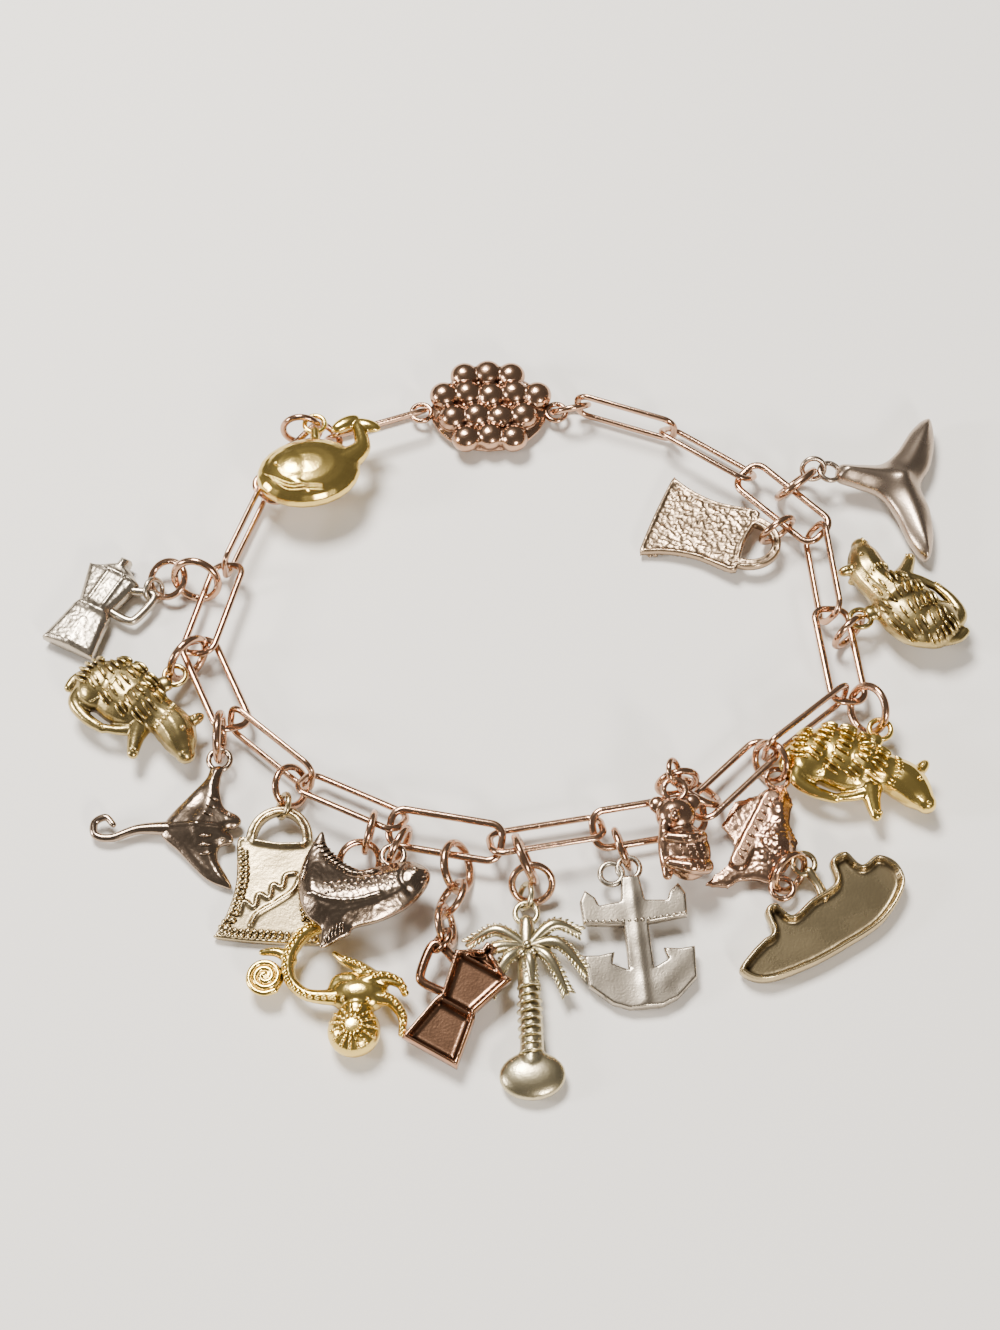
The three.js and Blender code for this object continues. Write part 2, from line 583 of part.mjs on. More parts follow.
const bracelet = new THREE.Group();
const material = {};
for (const [name, { color, roughness }] of Object.entries(METALS)) {
  material[name] = new THREE.MeshStandardMaterial({ name, color, roughness, metalness: 1 });
}

const pieces = new Map();

/** Makes a piece that can be settled. `lines` are its closed lines, `top` the one by which it is held. */
function addPiece(name, kind, geometry, metal, place, lines, more = {}) {
  const points = new THREE.BufferAttribute(geometry.attributes.position.array, 3);
  const piece = {
    name, kind, geometry, metal, place, goal: { ...place }, ownLines: lines, joints: [], body: solid(geometry),
    points: Array.from({ length: points.count }, (_, i) => new THREE.Vector3().fromBufferAttribute(points, i)),
    ...more,
  };
  piece.reach = Math.max(...piece.points.map((p) => p.length()));
  pieces.set(name, piece);
  lay(piece);
  return piece;
}

/** Says that a line of `inner` passes through `outer`. */
function thread(outer, inner, line = "top") {
  const joint = { outer, inner, line };
  outer.joints.push(joint);
  inner.joints.push(joint);
}

const inLink = (x, y) =>
  Math.max(Math.abs(x) - LINK.length / 2 + LINK.wire, Math.abs(y) - LINK.width / 2 + LINK.wire);
const link = linkGeometry();
let previous = null;
LINKS.forEach(([x, y, heading, roll], i) => {
  const name = `link_${String(i + 1).padStart(2, "0")}`;
  const place = { x, y, z: HIGH, heading, roll };
  const made = addPiece(name, "link", link, "rose", place, { top: oblong() },
    { wire: LINK.wire, half: (LINK.width - LINK.wire) / 2, window: inLink });
  if (previous) thread(previous, made);
  previous = made;
});

/** Makes a jump ring between two points, turned across the line from one to the other. */
function addRing(name, size, from, to, share) {
  const { radius, wire } = RING[size];
  const middle = from.clone().lerp(to, share);
  const along = THREE.MathUtils.radToDeg(Math.atan2(to.y - from.y, to.x - from.x));
  const across = along + (name.endsWith("2") ? 90 : 0);
  const place = { x: middle.x, y: middle.y, z: HIGH, heading: across, roll: 75 };
  const inRing = (x, y) => Math.hypot(x, y) - radius + wire / 2;
  return addPiece(name, "ring", ringGeometry(RING[size]), "rose", place, { top: circle(radius) },
    { wire, half: radius, window: inRing });
}

const centreOf = (line) => line.reduce((sum, p) => sum.add(p), new THREE.Vector3()).divideScalar(line.length);

for (const row of CHARMS) {
  const body = row.small ? join(row.make(), smallRing(row.small, row.bar)) : row.make();
  const lines = { top: heldLine(row) };
  if (row.make === landmass) lines.low = circle(LOOP.radius, LOWER_LOOP);
  if (row.make === clasp) {
    lines.left = circle(LOOP.radius, [-EYES / 2, 0]);
    lines.top = circle(LOOP.radius, [EYES / 2, 0]);
  }
  const { x, y, heading, roll, lift = 0, flip, flat } = row;
  const place = { x, y, lift, heading, roll, flip, flat };
  const charm = addPiece(row.name, "charm", geometryOf(body), row.metal, place, lines);
  let carrier = pieces.get(row.on);
  let line = carrier.kind === "charm" ? "low" : "top";
  const held = centreOf(charm.lines.top);
  const from = carrier.lines[line].toSorted((p, q) => p.distanceTo(held) - q.distanceTo(held))[0];
  row.rings.forEach((size, i) => {
    const name = row.make === clasp ? "ring_clasp" : `ring_${row.name}_${i + 1}`;
    const ring = addRing(name, size, from, held, (i + 0.5) / row.rings.length);
    thread(ring, carrier, line);
    [carrier, line] = [ring, "top"];
  });
  thread(carrier, charm);
  if (row.make === clasp) thread(previous, charm, "left");
}

settle([...pieces.values()]);

for (const { name, geometry, metal, matrix } of pieces.values()) {
  const mesh = new THREE.Mesh(geometry, material[metal]);
  mesh.name = name;
  mesh.applyMatrix4(matrix);
  bracelet.add(mesh);
}

// The middle of the underside is the origin.
const box = new THREE.Box3().setFromObject(bracelet, true);
const middle = box.getCenter(new THREE.Vector3()).setZ(box.min.z);
for (const mesh of bracelet.children) mesh.position.sub(middle);

export default bracelet;
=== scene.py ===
"""Charm bracelet: an oblong link chain laid out in a closed loop, with cast charms on jump rings.

Every charm is drawn in millimetres in a frame of its own: the point that its ring holds is the origin, the
charm hangs down along -Y and its face looks along +Z. `Place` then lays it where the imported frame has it.
"""

import logging
import math
from dataclasses import dataclass
from enum import Enum
from typing import Callable, ClassVar, Sequence

import bpy
import numpy as np
from mathutils import Matrix, Vector
from mathutils.bvhtree import BVHTree
from mathutils.geometry import delaunay_2d_cdt


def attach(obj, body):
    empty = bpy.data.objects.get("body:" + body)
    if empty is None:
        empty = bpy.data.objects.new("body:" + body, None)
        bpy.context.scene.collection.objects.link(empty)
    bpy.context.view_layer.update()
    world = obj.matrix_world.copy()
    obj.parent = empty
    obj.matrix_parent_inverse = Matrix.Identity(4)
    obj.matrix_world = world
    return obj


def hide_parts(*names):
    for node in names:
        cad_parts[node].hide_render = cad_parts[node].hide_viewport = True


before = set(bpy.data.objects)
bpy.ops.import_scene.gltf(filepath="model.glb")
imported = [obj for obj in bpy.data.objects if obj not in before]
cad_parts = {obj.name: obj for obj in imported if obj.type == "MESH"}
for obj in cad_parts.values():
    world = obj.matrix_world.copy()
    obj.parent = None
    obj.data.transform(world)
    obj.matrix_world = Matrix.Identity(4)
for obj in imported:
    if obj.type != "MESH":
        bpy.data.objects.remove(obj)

LOG = logging.getLogger("bracelet")
MM = 0.001
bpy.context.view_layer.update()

Point = tuple[float, float]
Point3 = tuple[float, float, float]
Heights = Callable[[np.ndarray, np.ndarray], np.ndarray]

# ---- Driving sizes, in millimetres ----
LINK_LENGTH = 11.5
LINK_WIDTH = 4.3
LINK_WIRE = 0.74
LINK_THICKNESS = 0.6
LINK_CORNER = 1.25
LOOP_RADIUS = 1.05
LOOP_WIRE = 0.56
SMALL_RADIUS = 1.15
SMALL_WIRE = 0.56
SOLDER = 0.12
EYES = 14.4
POT_BAR = 0.9
BAG_BAR = 0.95


# ---------------------------------------------------------------- nodes


def fill(tree: bpy.types.NodeTree, node: bpy.types.Node, inputs: dict[str | int, object]) -> bpy.types.Node:
    """Sets or links a node's inputs.

    Args:
        tree: the node's tree.
        node: the node.
        inputs: for an input's name or number, its value or the socket that feeds it.

    Returns:
        The node.
    """
    for name, value in inputs.items():
        if isinstance(value, bpy.types.NodeSocket):
            tree.links.new(value, node.inputs[name])
        else:
            node.inputs[name].default_value = value
    return node


def add(tree: bpy.types.NodeTree, kind: str, inputs: dict[str | int, object] | None = None) -> bpy.types.Node:
    """Adds a node of that kind to a tree, with its inputs set or linked."""
    return fill(tree, tree.nodes.new(kind), inputs or {})


def maths(tree: bpy.types.NodeTree, operation: str, *values: object) -> bpy.types.NodeSocket:
    """Adds a math node to a tree.

    Args:
        tree: the tree.
        operation: what the node works out.
        values: its numbers, or the sockets that feed them.

    Returns:
        The socket with the result.
    """
    node = tree.nodes.new("ShaderNodeMath")
    node.operation = operation
    return fill(tree, node, dict(enumerate(values))).outputs[0]


# ---------------------------------------------------------------- finishes


@dataclass(frozen=True)
class MetalFinish:
    """A worn plated metal: bright on the high spots, stained in patches and darkened by painted shade in the
    hollows, with a fine cast grain.

    Attributes:
        name: material name.
        slot: a material slot's name; not used.
        bright: colour of the rubbed metal.
        dark: colour of the stain, which also serves as the painted shade in the hollows.
        rough: roughness of the polished and of the stained metal.
        grain: grains in a millimetre.
        depth: depth of the grain, in millimetres.
        stain: how much of the plain surface the stain takes, from 0 to 1.
        hollow_shade: how strongly painted shade darkens the hollows.
        reach: how far from a hollow's floor the occlusion node looks for the walls that shade it, in
            millimetres.
    """

    name: str
    slot: str
    bright: Point3
    dark: Point3
    rough: Point = (0.18, 0.42)
    grain: float = 5.0
    depth: float = 0.012
    stain: float = 0.35
    hollow_shade: float = 1.0
    reach: float = 1.1

    # Patches of stain in a millimetre, and the part of their noise that goes from clean to stained.
    PATCHES: ClassVar[float] = 0.26
    PATCHY: ClassVar[Point] = (0.38, 0.68)
    # The pointiness between a hollow and a rubbed edge, and how much of the stain and painted shade the
    # rubbing takes away.
    WORN: ClassVar[Point] = (0.44, 0.56)
    RUB: ClassVar[float] = 0.9
    # The openness at which the painted shade in the hollows begins and at which it is full.
    OPEN: ClassVar[Point] = (0.85, 0.3)

    def build(self) -> bpy.types.Material:
        """Makes the material.

        Returns:
            The material, with its node tree.
        """
        material = bpy.data.materials.new(self.name)
        material.use_nodes = True
        tree = material.node_tree
        place = tree.nodes.new("ShaderNodeTexCoord").outputs["Object"]
        # Stain and painted shade together, which darken the colour below.
        stain_and_shade = self._stain_and_painted_shade(tree, place)
        colour = tree.nodes.new("ShaderNodeMix")
        colour.data_type = "RGBA"
        fill(tree, colour, {"A": (*self.bright, 1), "B": (*self.dark, 1), "Factor": stain_and_shade})
        dullness = add(tree, "ShaderNodeMapRange",
                       {"To Min": self.rough[0], "To Max": self.rough[1], "Value": stain_and_shade})
        grain = add(tree, "ShaderNodeTexNoise", {"Scale": self.grain / MM, "Detail": 3.0, "Vector": place})
        dents = add(tree, "ShaderNodeBump", {
            "Strength": 1.0,
            "Distance": self.depth * MM,
            "Height": grain.outputs["Fac"],
        })
        fill(tree, tree.nodes["Principled BSDF"], {
            "Metallic": 1.0,
            "Base Color": colour.outputs["Result"],
            "Roughness": dullness.outputs["Result"],
            "Normal": dents.outputs["Normal"],
        })
        return material

    def _stain_and_painted_shade(self, tree: bpy.types.NodeTree, place: bpy.types.NodeSocket) -> bpy.types.NodeSocket:
        """Works out the darkening: stain in patches, painted shade in the hollows, and less of both on rubbed
        edges.

        Args:
            tree: the material's tree.
            place: the socket with the place on the object.

        Returns:
            The socket with the share of stain and painted shade.
        """
        patches = add(tree, "ShaderNodeTexNoise", {
            "Scale": self.PATCHES / MM,
            "Detail": 6.0,
            "Roughness": 0.62,
            "Vector": place,
        })
        stain = self._share(tree, patches.outputs["Fac"], self.PATCHY, self.stain)
        edges = tree.nodes.new("ShaderNodeNewGeometry")
        worn = self._share(tree, edges.outputs["Pointiness"], self.WORN)
        # Painted shade: the ambient-occlusion node darkens the hollows in the colour itself.
        shade = add(tree, "ShaderNodeAmbientOcclusion", {"Distance": self.reach * MM})
        shade.samples = 6
        shade.only_local = True
        painted_shade = self._share(tree, shade.outputs["AO"], self.OPEN)
        # Stain in patches plus painted shade in the hollows.
        stain_plus_shade = maths(tree, "MULTIPLY_ADD", painted_shade, self.hollow_shade, stain)
        rub = maths(tree, "MULTIPLY_ADD", worn, self.RUB, -self.RUB / 2)
        stain_and_shade = maths(tree, "SUBTRACT", stain_plus_shade, rub)
        stain_and_shade.node.use_clamp = True
        return stain_and_shade

    @staticmethod
    def _share(
        tree: bpy.types.NodeTree, value: bpy.types.NodeSocket, limits: Point, top: float = 1.0
    ) -> bpy.types.NodeSocket:
        """Maps a value between two limits to a share from 0 to `top`."""
        limits_and_top = {"From Min": limits[0], "From Max": limits[1], "To Max": top, "Value": value}
        return add(tree, "ShaderNodeMapRange", limits_and_top).outputs["Result"]


# Each finish's dark colour serves its stain and the painted shade in its hollows; the dark copper's painted
# shade reaches further.
ROSE = MetalFinish("rose_metal_worn", "rose_metal", (0.52, 0.32, 0.21), (0.07, 0.032, 0.02), (0.18, 0.38),
                   stain=0.34)
COPPER = MetalFinish("rose_metal_dark", "rose_metal", (0.42, 0.23, 0.14), (0.04, 0.018, 0.01), (0.16, 0.32),
                     stain=0.5, reach=2.2)
BRONZE = MetalFinish("bronze_metal_stained_shaded", "old_gold_metal", (0.4, 0.29, 0.19), (0.04, 0.027, 0.018),
                     (0.28, 0.5), stain=0.5)
GOLD = MetalFinish("gold_metal_bright", "gold_metal", (0.82, 0.6, 0.18), (0.09, 0.05, 0.012), (0.18, 0.36),
                   stain=0.22)
OLD_GOLD = MetalFinish("old_gold_metal", "old_gold_metal", (0.52, 0.4, 0.17), (0.05, 0.031, 0.017),
                       (0.22, 0.42), stain=0.5)
SILVER = MetalFinish("silver_metal_grainy", "silver_metal", (0.46, 0.4, 0.32), (0.055, 0.042, 0.032),
                     (0.27, 0.46), stain=0.42)
PALE = MetalFinish("silver_metal_pale", "silver_metal", (0.6, 0.52, 0.33), (0.08, 0.058, 0.03), (0.25, 0.45),
                   stain=0.4)
BRASS = MetalFinish("silver_metal_brassy", "silver_metal", (0.48, 0.38, 0.22), (0.05, 0.035, 0.018),
                    (0.24, 0.45), stain=0.45)
PEWTER = MetalFinish("pewter_metal_dark", "pewter_metal", (0.36, 0.27, 0.2), (0.028, 0.02, 0.015),
                     (0.18, 0.36), stain=0.42)
SATIN = MetalFinish("pewter_metal_satin", "pewter_metal", (0.46, 0.36, 0.28), (0.05, 0.036, 0.027),
                    (0.27, 0.4), stain=0.35)


# ---------------------------------------------------------------- places


def points_of(node: str) -> np.ndarray:
    """The corners of a CAD node in the frame, in millimetres."""
    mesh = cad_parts[node].data
    points = np.empty(len(mesh.vertices) * 3)
    mesh.vertices.foreach_get("co", points)
    return np.unique(np.round(points.reshape(-1, 3) / MM, 4), axis=0)


def middle_of(points: np.ndarray) -> np.ndarray:
    """The middle of the box round some points."""
    return (points.min(axis=0) + points.max(axis=0)) / 2


def rigid(own: np.ndarray, goal: np.ndarray) -> Matrix:
    """The turn and shift that bring points nearest to their goals, without stretching.

    Args:
        own: the points, one per row.
        goal: where each should come.

    Returns:
        The motion.
    """
    left, _, right = np.linalg.svd((own - own.mean(axis=0)).T @ (goal - goal.mean(axis=0)))
    straight = np.diag([1.0, 1.0, np.sign(np.linalg.det(left @ right))])
    turn = (left @ straight @ right).T
    motion = Matrix(turn.tolist()).to_4x4()
    motion.translation = Vector(goal.mean(axis=0) - turn @ own.mean(axis=0))
    return motion


@dataclass(frozen=True)
class Place:
    """How a charm lies: a first guess at its turn, which the corners of its CAD node then correct.

    Attributes:
        heading: its direction in plan.
        roll: its turn about its own X.
        flip: whether it lies on its face.
    """

    heading: float
    roll: float = 0.0
    flip: bool = False

    # Rounds of the fit, and the share of the corners, the nearest ones, that each round keeps.
    ROUNDS: ClassVar[int] = 24
    KEPT: ClassVar[float] = 0.8

    def lay(self, shape: "Shape", node: str) -> "Shape":
        """Lays a charm down on its CAD node: its skin is brought to the node's corners, round after round.

        Args:
            shape: the charm in its own frame, in millimetres.
            node: its CAD node.

        Returns:
            The charm in the frame, in metres.
        """
        goals = points_of(node)
        turns = (self.heading, "Z"), (self.roll, "X"), (180.0 if self.flip else 0.0, "Y")
        heading, roll, flip = (Matrix.Rotation(math.radians(angle), 4, axis) for angle, axis in turns)
        pose = heading @ roll @ flip
        shift = middle_of(goals) - middle_of(shape.moved(pose).points)
        pose = Matrix.Translation(Vector(shift)) @ pose
        tree = BVHTree.FromPolygons(shape.points.tolist(), shape.faces)
        for _ in range(self.ROUNDS):
            back = pose.inverted()
            near = [tree.find_nearest(back @ Vector(goal))[::3] for goal in goals.tolist()]
            miss = np.array([distance for _, distance in near])
            kept = miss <= np.quantile(miss, self.KEPT)
            pose = rigid(np.array([place[:] for place, _ in near])[kept], goals[kept])
        laid = shape.moved(pose)
        lift = goals[:, 2].min() - laid.points[:, 2].min()
        return laid.moved(Matrix.Scale(MM, 4) @ Matrix.Translation((0, 0, lift)))


def lie_of(node: str) -> Matrix:
    """Finds how a wire loop of the frame lies, from its own points.

    Args:
        node: the name of the link or ring.

    Returns:
        A matrix whose X is the loop's longest way, whose Z is its normal and whose place is its middle, in
        millimetres.
    """
    points = points_of(node)
    middle = middle_of(points)
    ways = np.linalg.svd(points - points.mean(axis=0), full_matrices=False)[2]
    along, up = Vector(ways[0]), Vector(ways[2])
    across = up.cross(along)
    turn = Matrix((along, across, up)).transposed().to_4x4()
    return Matrix.Translation(Vector(middle)) @ turn


# ---------------------------------------------------------------- shapes

# Numbers that scramble a cell's place into its noise.
NOISE_SHIFT = 17.3
NOISE_X = 127.1
NOISE_Y = 311.7
NOISE_GAIN = 43758.5453

# Distance between the rows of a grid of triangles, as a share of the points' spacing.
GRID_ROW = 0.866
# How far out the rings of a rod's domed ends lie, as shares of its radius.
DOME = (0.98, 0.8, 0.45)
# The share of the half turn from pole to pole that a ball's rings span.
BALL_SPAN = 0.985
# Where the drop onto a face starts, and how flat the face has to be to take a grain.
DROP_FROM = 20.0
FLAT_ENOUGH = 0.25


class Shape:
    """Points and faces in millimetres."""

    def __init__(self, points: np.ndarray, faces: list[tuple[int, ...]]) -> None:
        """Keeps the points and faces."""
        self.points = np.asarray(points, float)
        self.faces = faces

    @classmethod
    def from_mesh(cls, mesh: bpy.types.Mesh) -> "Shape":
        """Reads a Blender mesh."""
        points = np.empty(len(mesh.vertices) * 3)
        mesh.vertices.foreach_get("co", points)
        return cls(points.reshape(-1, 3), [tuple(p.vertices) for p in mesh.polygons])

    def moved(self, matrix: Matrix) -> "Shape":
        """A copy of the shape with the matrix applied."""
        return Shape(self.points @ np.array(matrix.to_3x3()).T + np.array(matrix.translation), self.faces)

    def mesh(self, name: str) -> bpy.types.Mesh:
        """Makes a smooth Blender mesh of that name."""
        mesh = bpy.data.meshes.new(name)
        mesh.from_pydata(self.points.tolist(), [], self.faces)
        mesh.polygons.foreach_set("use_smooth", np.ones(len(mesh.polygons), bool))
        mesh.update()
        return mesh


def joined(shapes: Sequence[Shape]) -> Shape:
    """Puts several shapes in one."""
    points, faces, first = [], [], 0
    for shape in shapes:
        points.append(shape.points)
        faces += [tuple(i + first for i in face) for face in shape.faces]
        first += len(shape.points)
    return Shape(np.vstack(points), faces)


def smooth_path(points: Sequence[Sequence[float]], step: float, closed: bool = False) -> np.ndarray:
    """Runs a smooth curve through given points.

    Args:
        points: the points, in two or three dimensions.
        step: the distance between samples.
        closed: whether the curve comes back to its start.

    Returns:
        The samples.
    """
    p = np.asarray(points, float)
    count = len(p)
    spans = count if closed else count - 1
    samples = []
    for i in range(spans):
        if closed:
            a, b, c, d = (p[(i + k) % count] for k in (-1, 0, 1, 2))
        else:
            a, b, c, d = (p[min(max(i + k, 0), count - 1)] for k in (-1, 0, 1, 2))
        pieces = max(1, int(round(np.linalg.norm(c - b) / step)))
        for t in np.arange(pieces) / pieces:
            bend = (2 * a - 5 * b + 4 * c - d) * t**2 + (3 * b - 3 * c + d - a) * t**3
            samples.append((2 * b + (c - a) * t + bend) / 2)
    if not closed:
        samples.append(p[-1])
    return np.array(samples)


def straight_path(points: Sequence[Point], step: float) -> np.ndarray:
    """Samples a closed outline with straight sides."""
    p = np.asarray(points, float)
    samples = []
    for a, b in zip(p, np.roll(p, -1, axis=0)):
        pieces = max(1, int(round(np.linalg.norm(b - a) / step)))
        samples += [a + (b - a) * t for t in np.arange(pieces) / pieces]
    return np.array(samples)


def arc(cx: float, cy: float, rx: float, ry: float, start: float, end: float, count: int) -> list[Point]:
    """Points on an elliptical arc, between two angles in degrees."""
    angles = np.radians(np.linspace(start, end, count))
    return [(cx + rx * math.cos(a), cy + ry * math.sin(a)) for a in angles]


def distance_to(points: np.ndarray, path: np.ndarray, closed: bool = False) -> np.ndarray:
    """Distance of each point from a path in the plane."""
    ends = np.roll(path, -1, axis=0) if closed else path[1:]
    starts = path if closed else path[:-1]
    best = np.full(len(points), 1e9)
    for a, b in zip(starts, ends):
        way = b - a
        share = np.clip(((points - a) @ way) / max(way @ way, 1e-12), 0, 1)
        best = np.minimum(best, np.linalg.norm(points - a - share[:, None] * way, axis=1))
    return best


def inside(points: np.ndarray, outline: np.ndarray) -> np.ndarray:
    """Whether each point lies within a closed outline."""
    x, y = points[:, 0], points[:, 1]
    odd = np.zeros(len(points), bool)
    for (x0, y0), (x1, y1) in zip(outline, np.roll(outline, -1, axis=0)):
        crosses = (y0 > y) != (y1 > y)
        with np.errstate(divide="ignore", invalid="ignore"):
            odd ^= crosses & (x < (x1 - x0) * (y - y0) / (y1 - y0) + x0)
    return odd


def ridge(points: np.ndarray, path: np.ndarray, width: float) -> np.ndarray:
    """A rounded ridge of height 1 along a path."""
    return np.exp(-((distance_to(points, path) / (width / 2)) ** 2))


def speckle(points: np.ndarray, scale: float, seed: float = 0.0) -> np.ndarray:
    """Smooth repeatable noise in the plane.

    Args:
        points: the places, one per row.
        scale: cells in a millimetre.
        seed: another number gives other noise.

    Returns:
        The noise at each place, between -1 and 1.
    """
    spots = points[:, :2] * scale + seed * NOISE_SHIFT
    cell = np.floor(spots)
    share = spots - cell
    share = share * share * (3 - 2 * share)

    def corner(dx: int, dy: int) -> np.ndarray:
        """The value at a corner of each place's cell."""
        value = np.sin((cell[:, 0] + dx) * NOISE_X + (cell[:, 1] + dy) * NOISE_Y + seed) * NOISE_GAIN
        return 2 * (value - np.floor(value)) - 1

    low = corner(0, 0) * (1 - share[:, 0]) + corner(1, 0) * share[:, 0]
    high = corner(0, 1) * (1 - share[:, 0]) + corner(1, 1) * share[:, 0]
    return low * (1 - share[:, 1]) + high * share[:, 1]


@dataclass
class Relief:
    """A flat casting: an outline with holes, and heights over it for its face and its back.

    Attributes:
        outline: the closed outline, sampled.
        holes: closed outlines cut out of it.
        face: height of the face for points and their distances from the edge.
        back: height of the back, the same way.
        spacing: distance between points of the surface.
        steps: distances from the edge at which rows of points follow it.
    """

    # How near to another edge a row's points may come, and to the last row the grid's, as shares.
    ROW_ROOM: ClassVar[float] = 0.85
    GRID_ROOM: ClassVar[float] = 0.4

    outline: np.ndarray
    face: Heights
    back: Heights
    holes: Sequence[np.ndarray] = ()
    spacing: float = 0.2
    steps: Sequence[float] = (0.05, 0.13, 0.25, 0.4)

    def _points(self) -> tuple[np.ndarray, list[tuple[int, int]]]:
        """Lays out the points.

        Returns:
            The points, with those of the outlines first, and the edges of the outlines.
        """
        rings = [self.outline, *self.holes]
        edges, first = [], 0
        for ring in rings:
            count = len(ring)
            edges += [(first + i, first + (i + 1) % count) for i in range(count)]
            first += count
        extra = []
        for ring in rings:
            way = np.roll(ring, -1, axis=0) - np.roll(ring, 1, axis=0)
            normal = np.stack([-way[:, 1], way[:, 0]], axis=1)
            normal /= np.maximum(np.linalg.norm(normal, axis=1), 1e-9)[:, None]
            for step in self.steps:
                for side in (-1, 1):
                    row = ring + side * step * normal
                    near = self._depth(row)
                    extra.append(row[self._within(row) & (near > self.ROW_ROOM * step)])
        low, high = self.outline.min(axis=0), self.outline.max(axis=0)
        xs = np.arange(low[0], high[0], self.spacing)
        ys = np.arange(low[1], high[1], self.spacing * GRID_ROW)
        grid = np.array([(x + (self.spacing / 2 if j % 2 else 0), y) for j, y in enumerate(ys) for x in xs])
        grid = grid[self._within(grid)]
        extra.append(grid[self._depth(grid) > self.steps[-1] + self.spacing * self.GRID_ROOM])
        return np.vstack([*rings, *extra]), edges

    def _within(self, points: np.ndarray) -> np.ndarray:
        """Whether points lie on the metal."""
        keep = inside(points, self.outline)
        for hole in self.holes:
            keep &= ~inside(points, hole)
        return keep

    def _depth(self, points: np.ndarray) -> np.ndarray:
        """Distance of points from the nearest edge."""
        near = distance_to(points, self.outline, closed=True)
        for hole in self.holes:
            near = np.minimum(near, distance_to(points, hole, closed=True))
        return near

    def shape(self) -> Shape:
        """Builds the casting.

        Returns:
            A closed shape.
        """
        points, edges = self._points()
        flat = [Vector(p) for p in points]
        verts, _, faces, _, _, _ = delaunay_2d_cdt(flat, edges, [], 0, 1e-5)
        plane = np.array([tuple(v) for v in verts])
        centres = np.array([plane[list(f)].mean(axis=0) for f in faces])
        faces = [f for f, keep in zip(faces, self._within(centres)) if keep]
        depth = self._depth(plane)
        depth[depth < 1e-4] = 0
        top, bottom = self.face(plane, depth), self.back(plane, depth)
        count = len(plane)
        directed = set()
        up = []
        for a, b, c in faces:
            if np.cross(plane[b] - plane[a], plane[c] - plane[a]) < 0:
                b, c = c, b
            up.append((a, b, c))
            directed |= {(a, b), (b, c), (c, a)}
        walls = [(b, a, a + count, b + count) for a, b in directed if (b, a) not in directed]
        down = [(c + count, b + count, a + count) for a, b, c in up]
        solid = np.vstack([np.column_stack([plane, top]), np.column_stack([plane, bottom])])
        return Shape(solid, up + down + walls)


def rise(depth: np.ndarray, reach: float) -> np.ndarray:
    """A straight rise from 0 at the edge to 1 at `reach`."""
    return np.clip(depth / reach, 0, 1)


def swell(depth: np.ndarray, reach: float) -> np.ndarray:
    """A rise from 0 at the edge to 1 at `reach`, steep at first."""
    return np.sqrt(rise(depth, reach))


def hill(points: np.ndarray, at: Point, half: Point) -> np.ndarray:
    """A rounded hill of height 1 at a place in plan."""
    return np.exp(-(((points[:, 0] - at[0]) / half[0]) ** 2 + ((points[:, 1] - at[1]) / half[1]) ** 2))


def bump(depth: np.ndarray, at: float, width: float) -> np.ndarray:
    """A rounded bump of height 1 at a distance from the edge."""
    return np.exp(-((depth - at) / width) ** 2)


def rail(depth: np.ndarray, at: float, width: float) -> np.ndarray:
    """A bump with a flatter top and steeper sides."""
    return np.exp(-(((depth - at) / width) ** 4))


def rounded(full: float, edge: float, radius: float) -> Heights:
    """Heights that rise from `edge` at the rim to `full` over a rounded shoulder."""

    def heights(_: np.ndarray, depth: np.ndarray) -> np.ndarray:
        """The height at each distance from the rim."""
        share = rise(depth, radius)
        return edge + (full - edge) * np.sqrt(1 - (1 - share) ** 2)

    return heights


def tube(
    points: Sequence[Sequence[float]], radii: Sequence[float], step: float = 0.25, around: int = 12
) -> Shape:
    """A round rod along a smooth path, thicker and thinner as the radii say, with domed ends.

    Args:
        points: the given points of the path.
        radii: the radius at each of those points.
        step: distance between sections.
        around: points in a section.

    Returns:
        A closed shape.
    """
    rows = [(*p, r) for p, r in zip(points, radii)]
    path = smooth_path(rows, step)
    line, radius = path[:, :3], np.maximum(path[:, 3], 0.02)
    ways = np.gradient(line, axis=0)
    ways /= np.linalg.norm(ways, axis=1)[:, None]
    side = np.cross(ways[0], (0.0, 0.0, 1.0))
    if np.linalg.norm(side) < 0.1:
        side = np.cross(ways[0], (0.0, 1.0, 0.0))
    angles = np.linspace(0, 2 * math.pi, around, endpoint=False)

    def dome(end: int, out: int) -> list[tuple[np.ndarray, np.ndarray, float]]:
        """The middles, ways and radii of a domed end's rings, from the outermost."""
        way, r = ways[end], radius[end]
        return [(line[end] + out * way * r * share, way, r * math.sqrt(1 - share**2)) for share in DOME]

    rings = []
    for centre, way, r in [*dome(0, -1), *zip(line, ways, radius), *reversed(dome(-1, 1))]:
        side = side - way * (side @ way)
        side /= np.linalg.norm(side)
        other = np.cross(way, side)
        rings.append(centre + r * (np.cos(angles)[:, None] * side + np.sin(angles)[:, None] * other))
    return skin(rings)


def skin(rings: Sequence[np.ndarray]) -> Shape:
    """Joins equal rings of points to a closed shape."""
    count = len(rings[0])
    points = np.vstack(rings)
    faces: list[tuple[int, ...]] = []
    for i in range(len(rings) - 1):
        a, b = i * count, (i + 1) * count
        faces += [(a + k, a + (k + 1) % count, b + (k + 1) % count, b + k) for k in range(count)]
    faces.append(tuple(reversed(range(count))))
    faces.append(tuple(range(len(points) - count, len(points))))
    return Shape(points, faces)


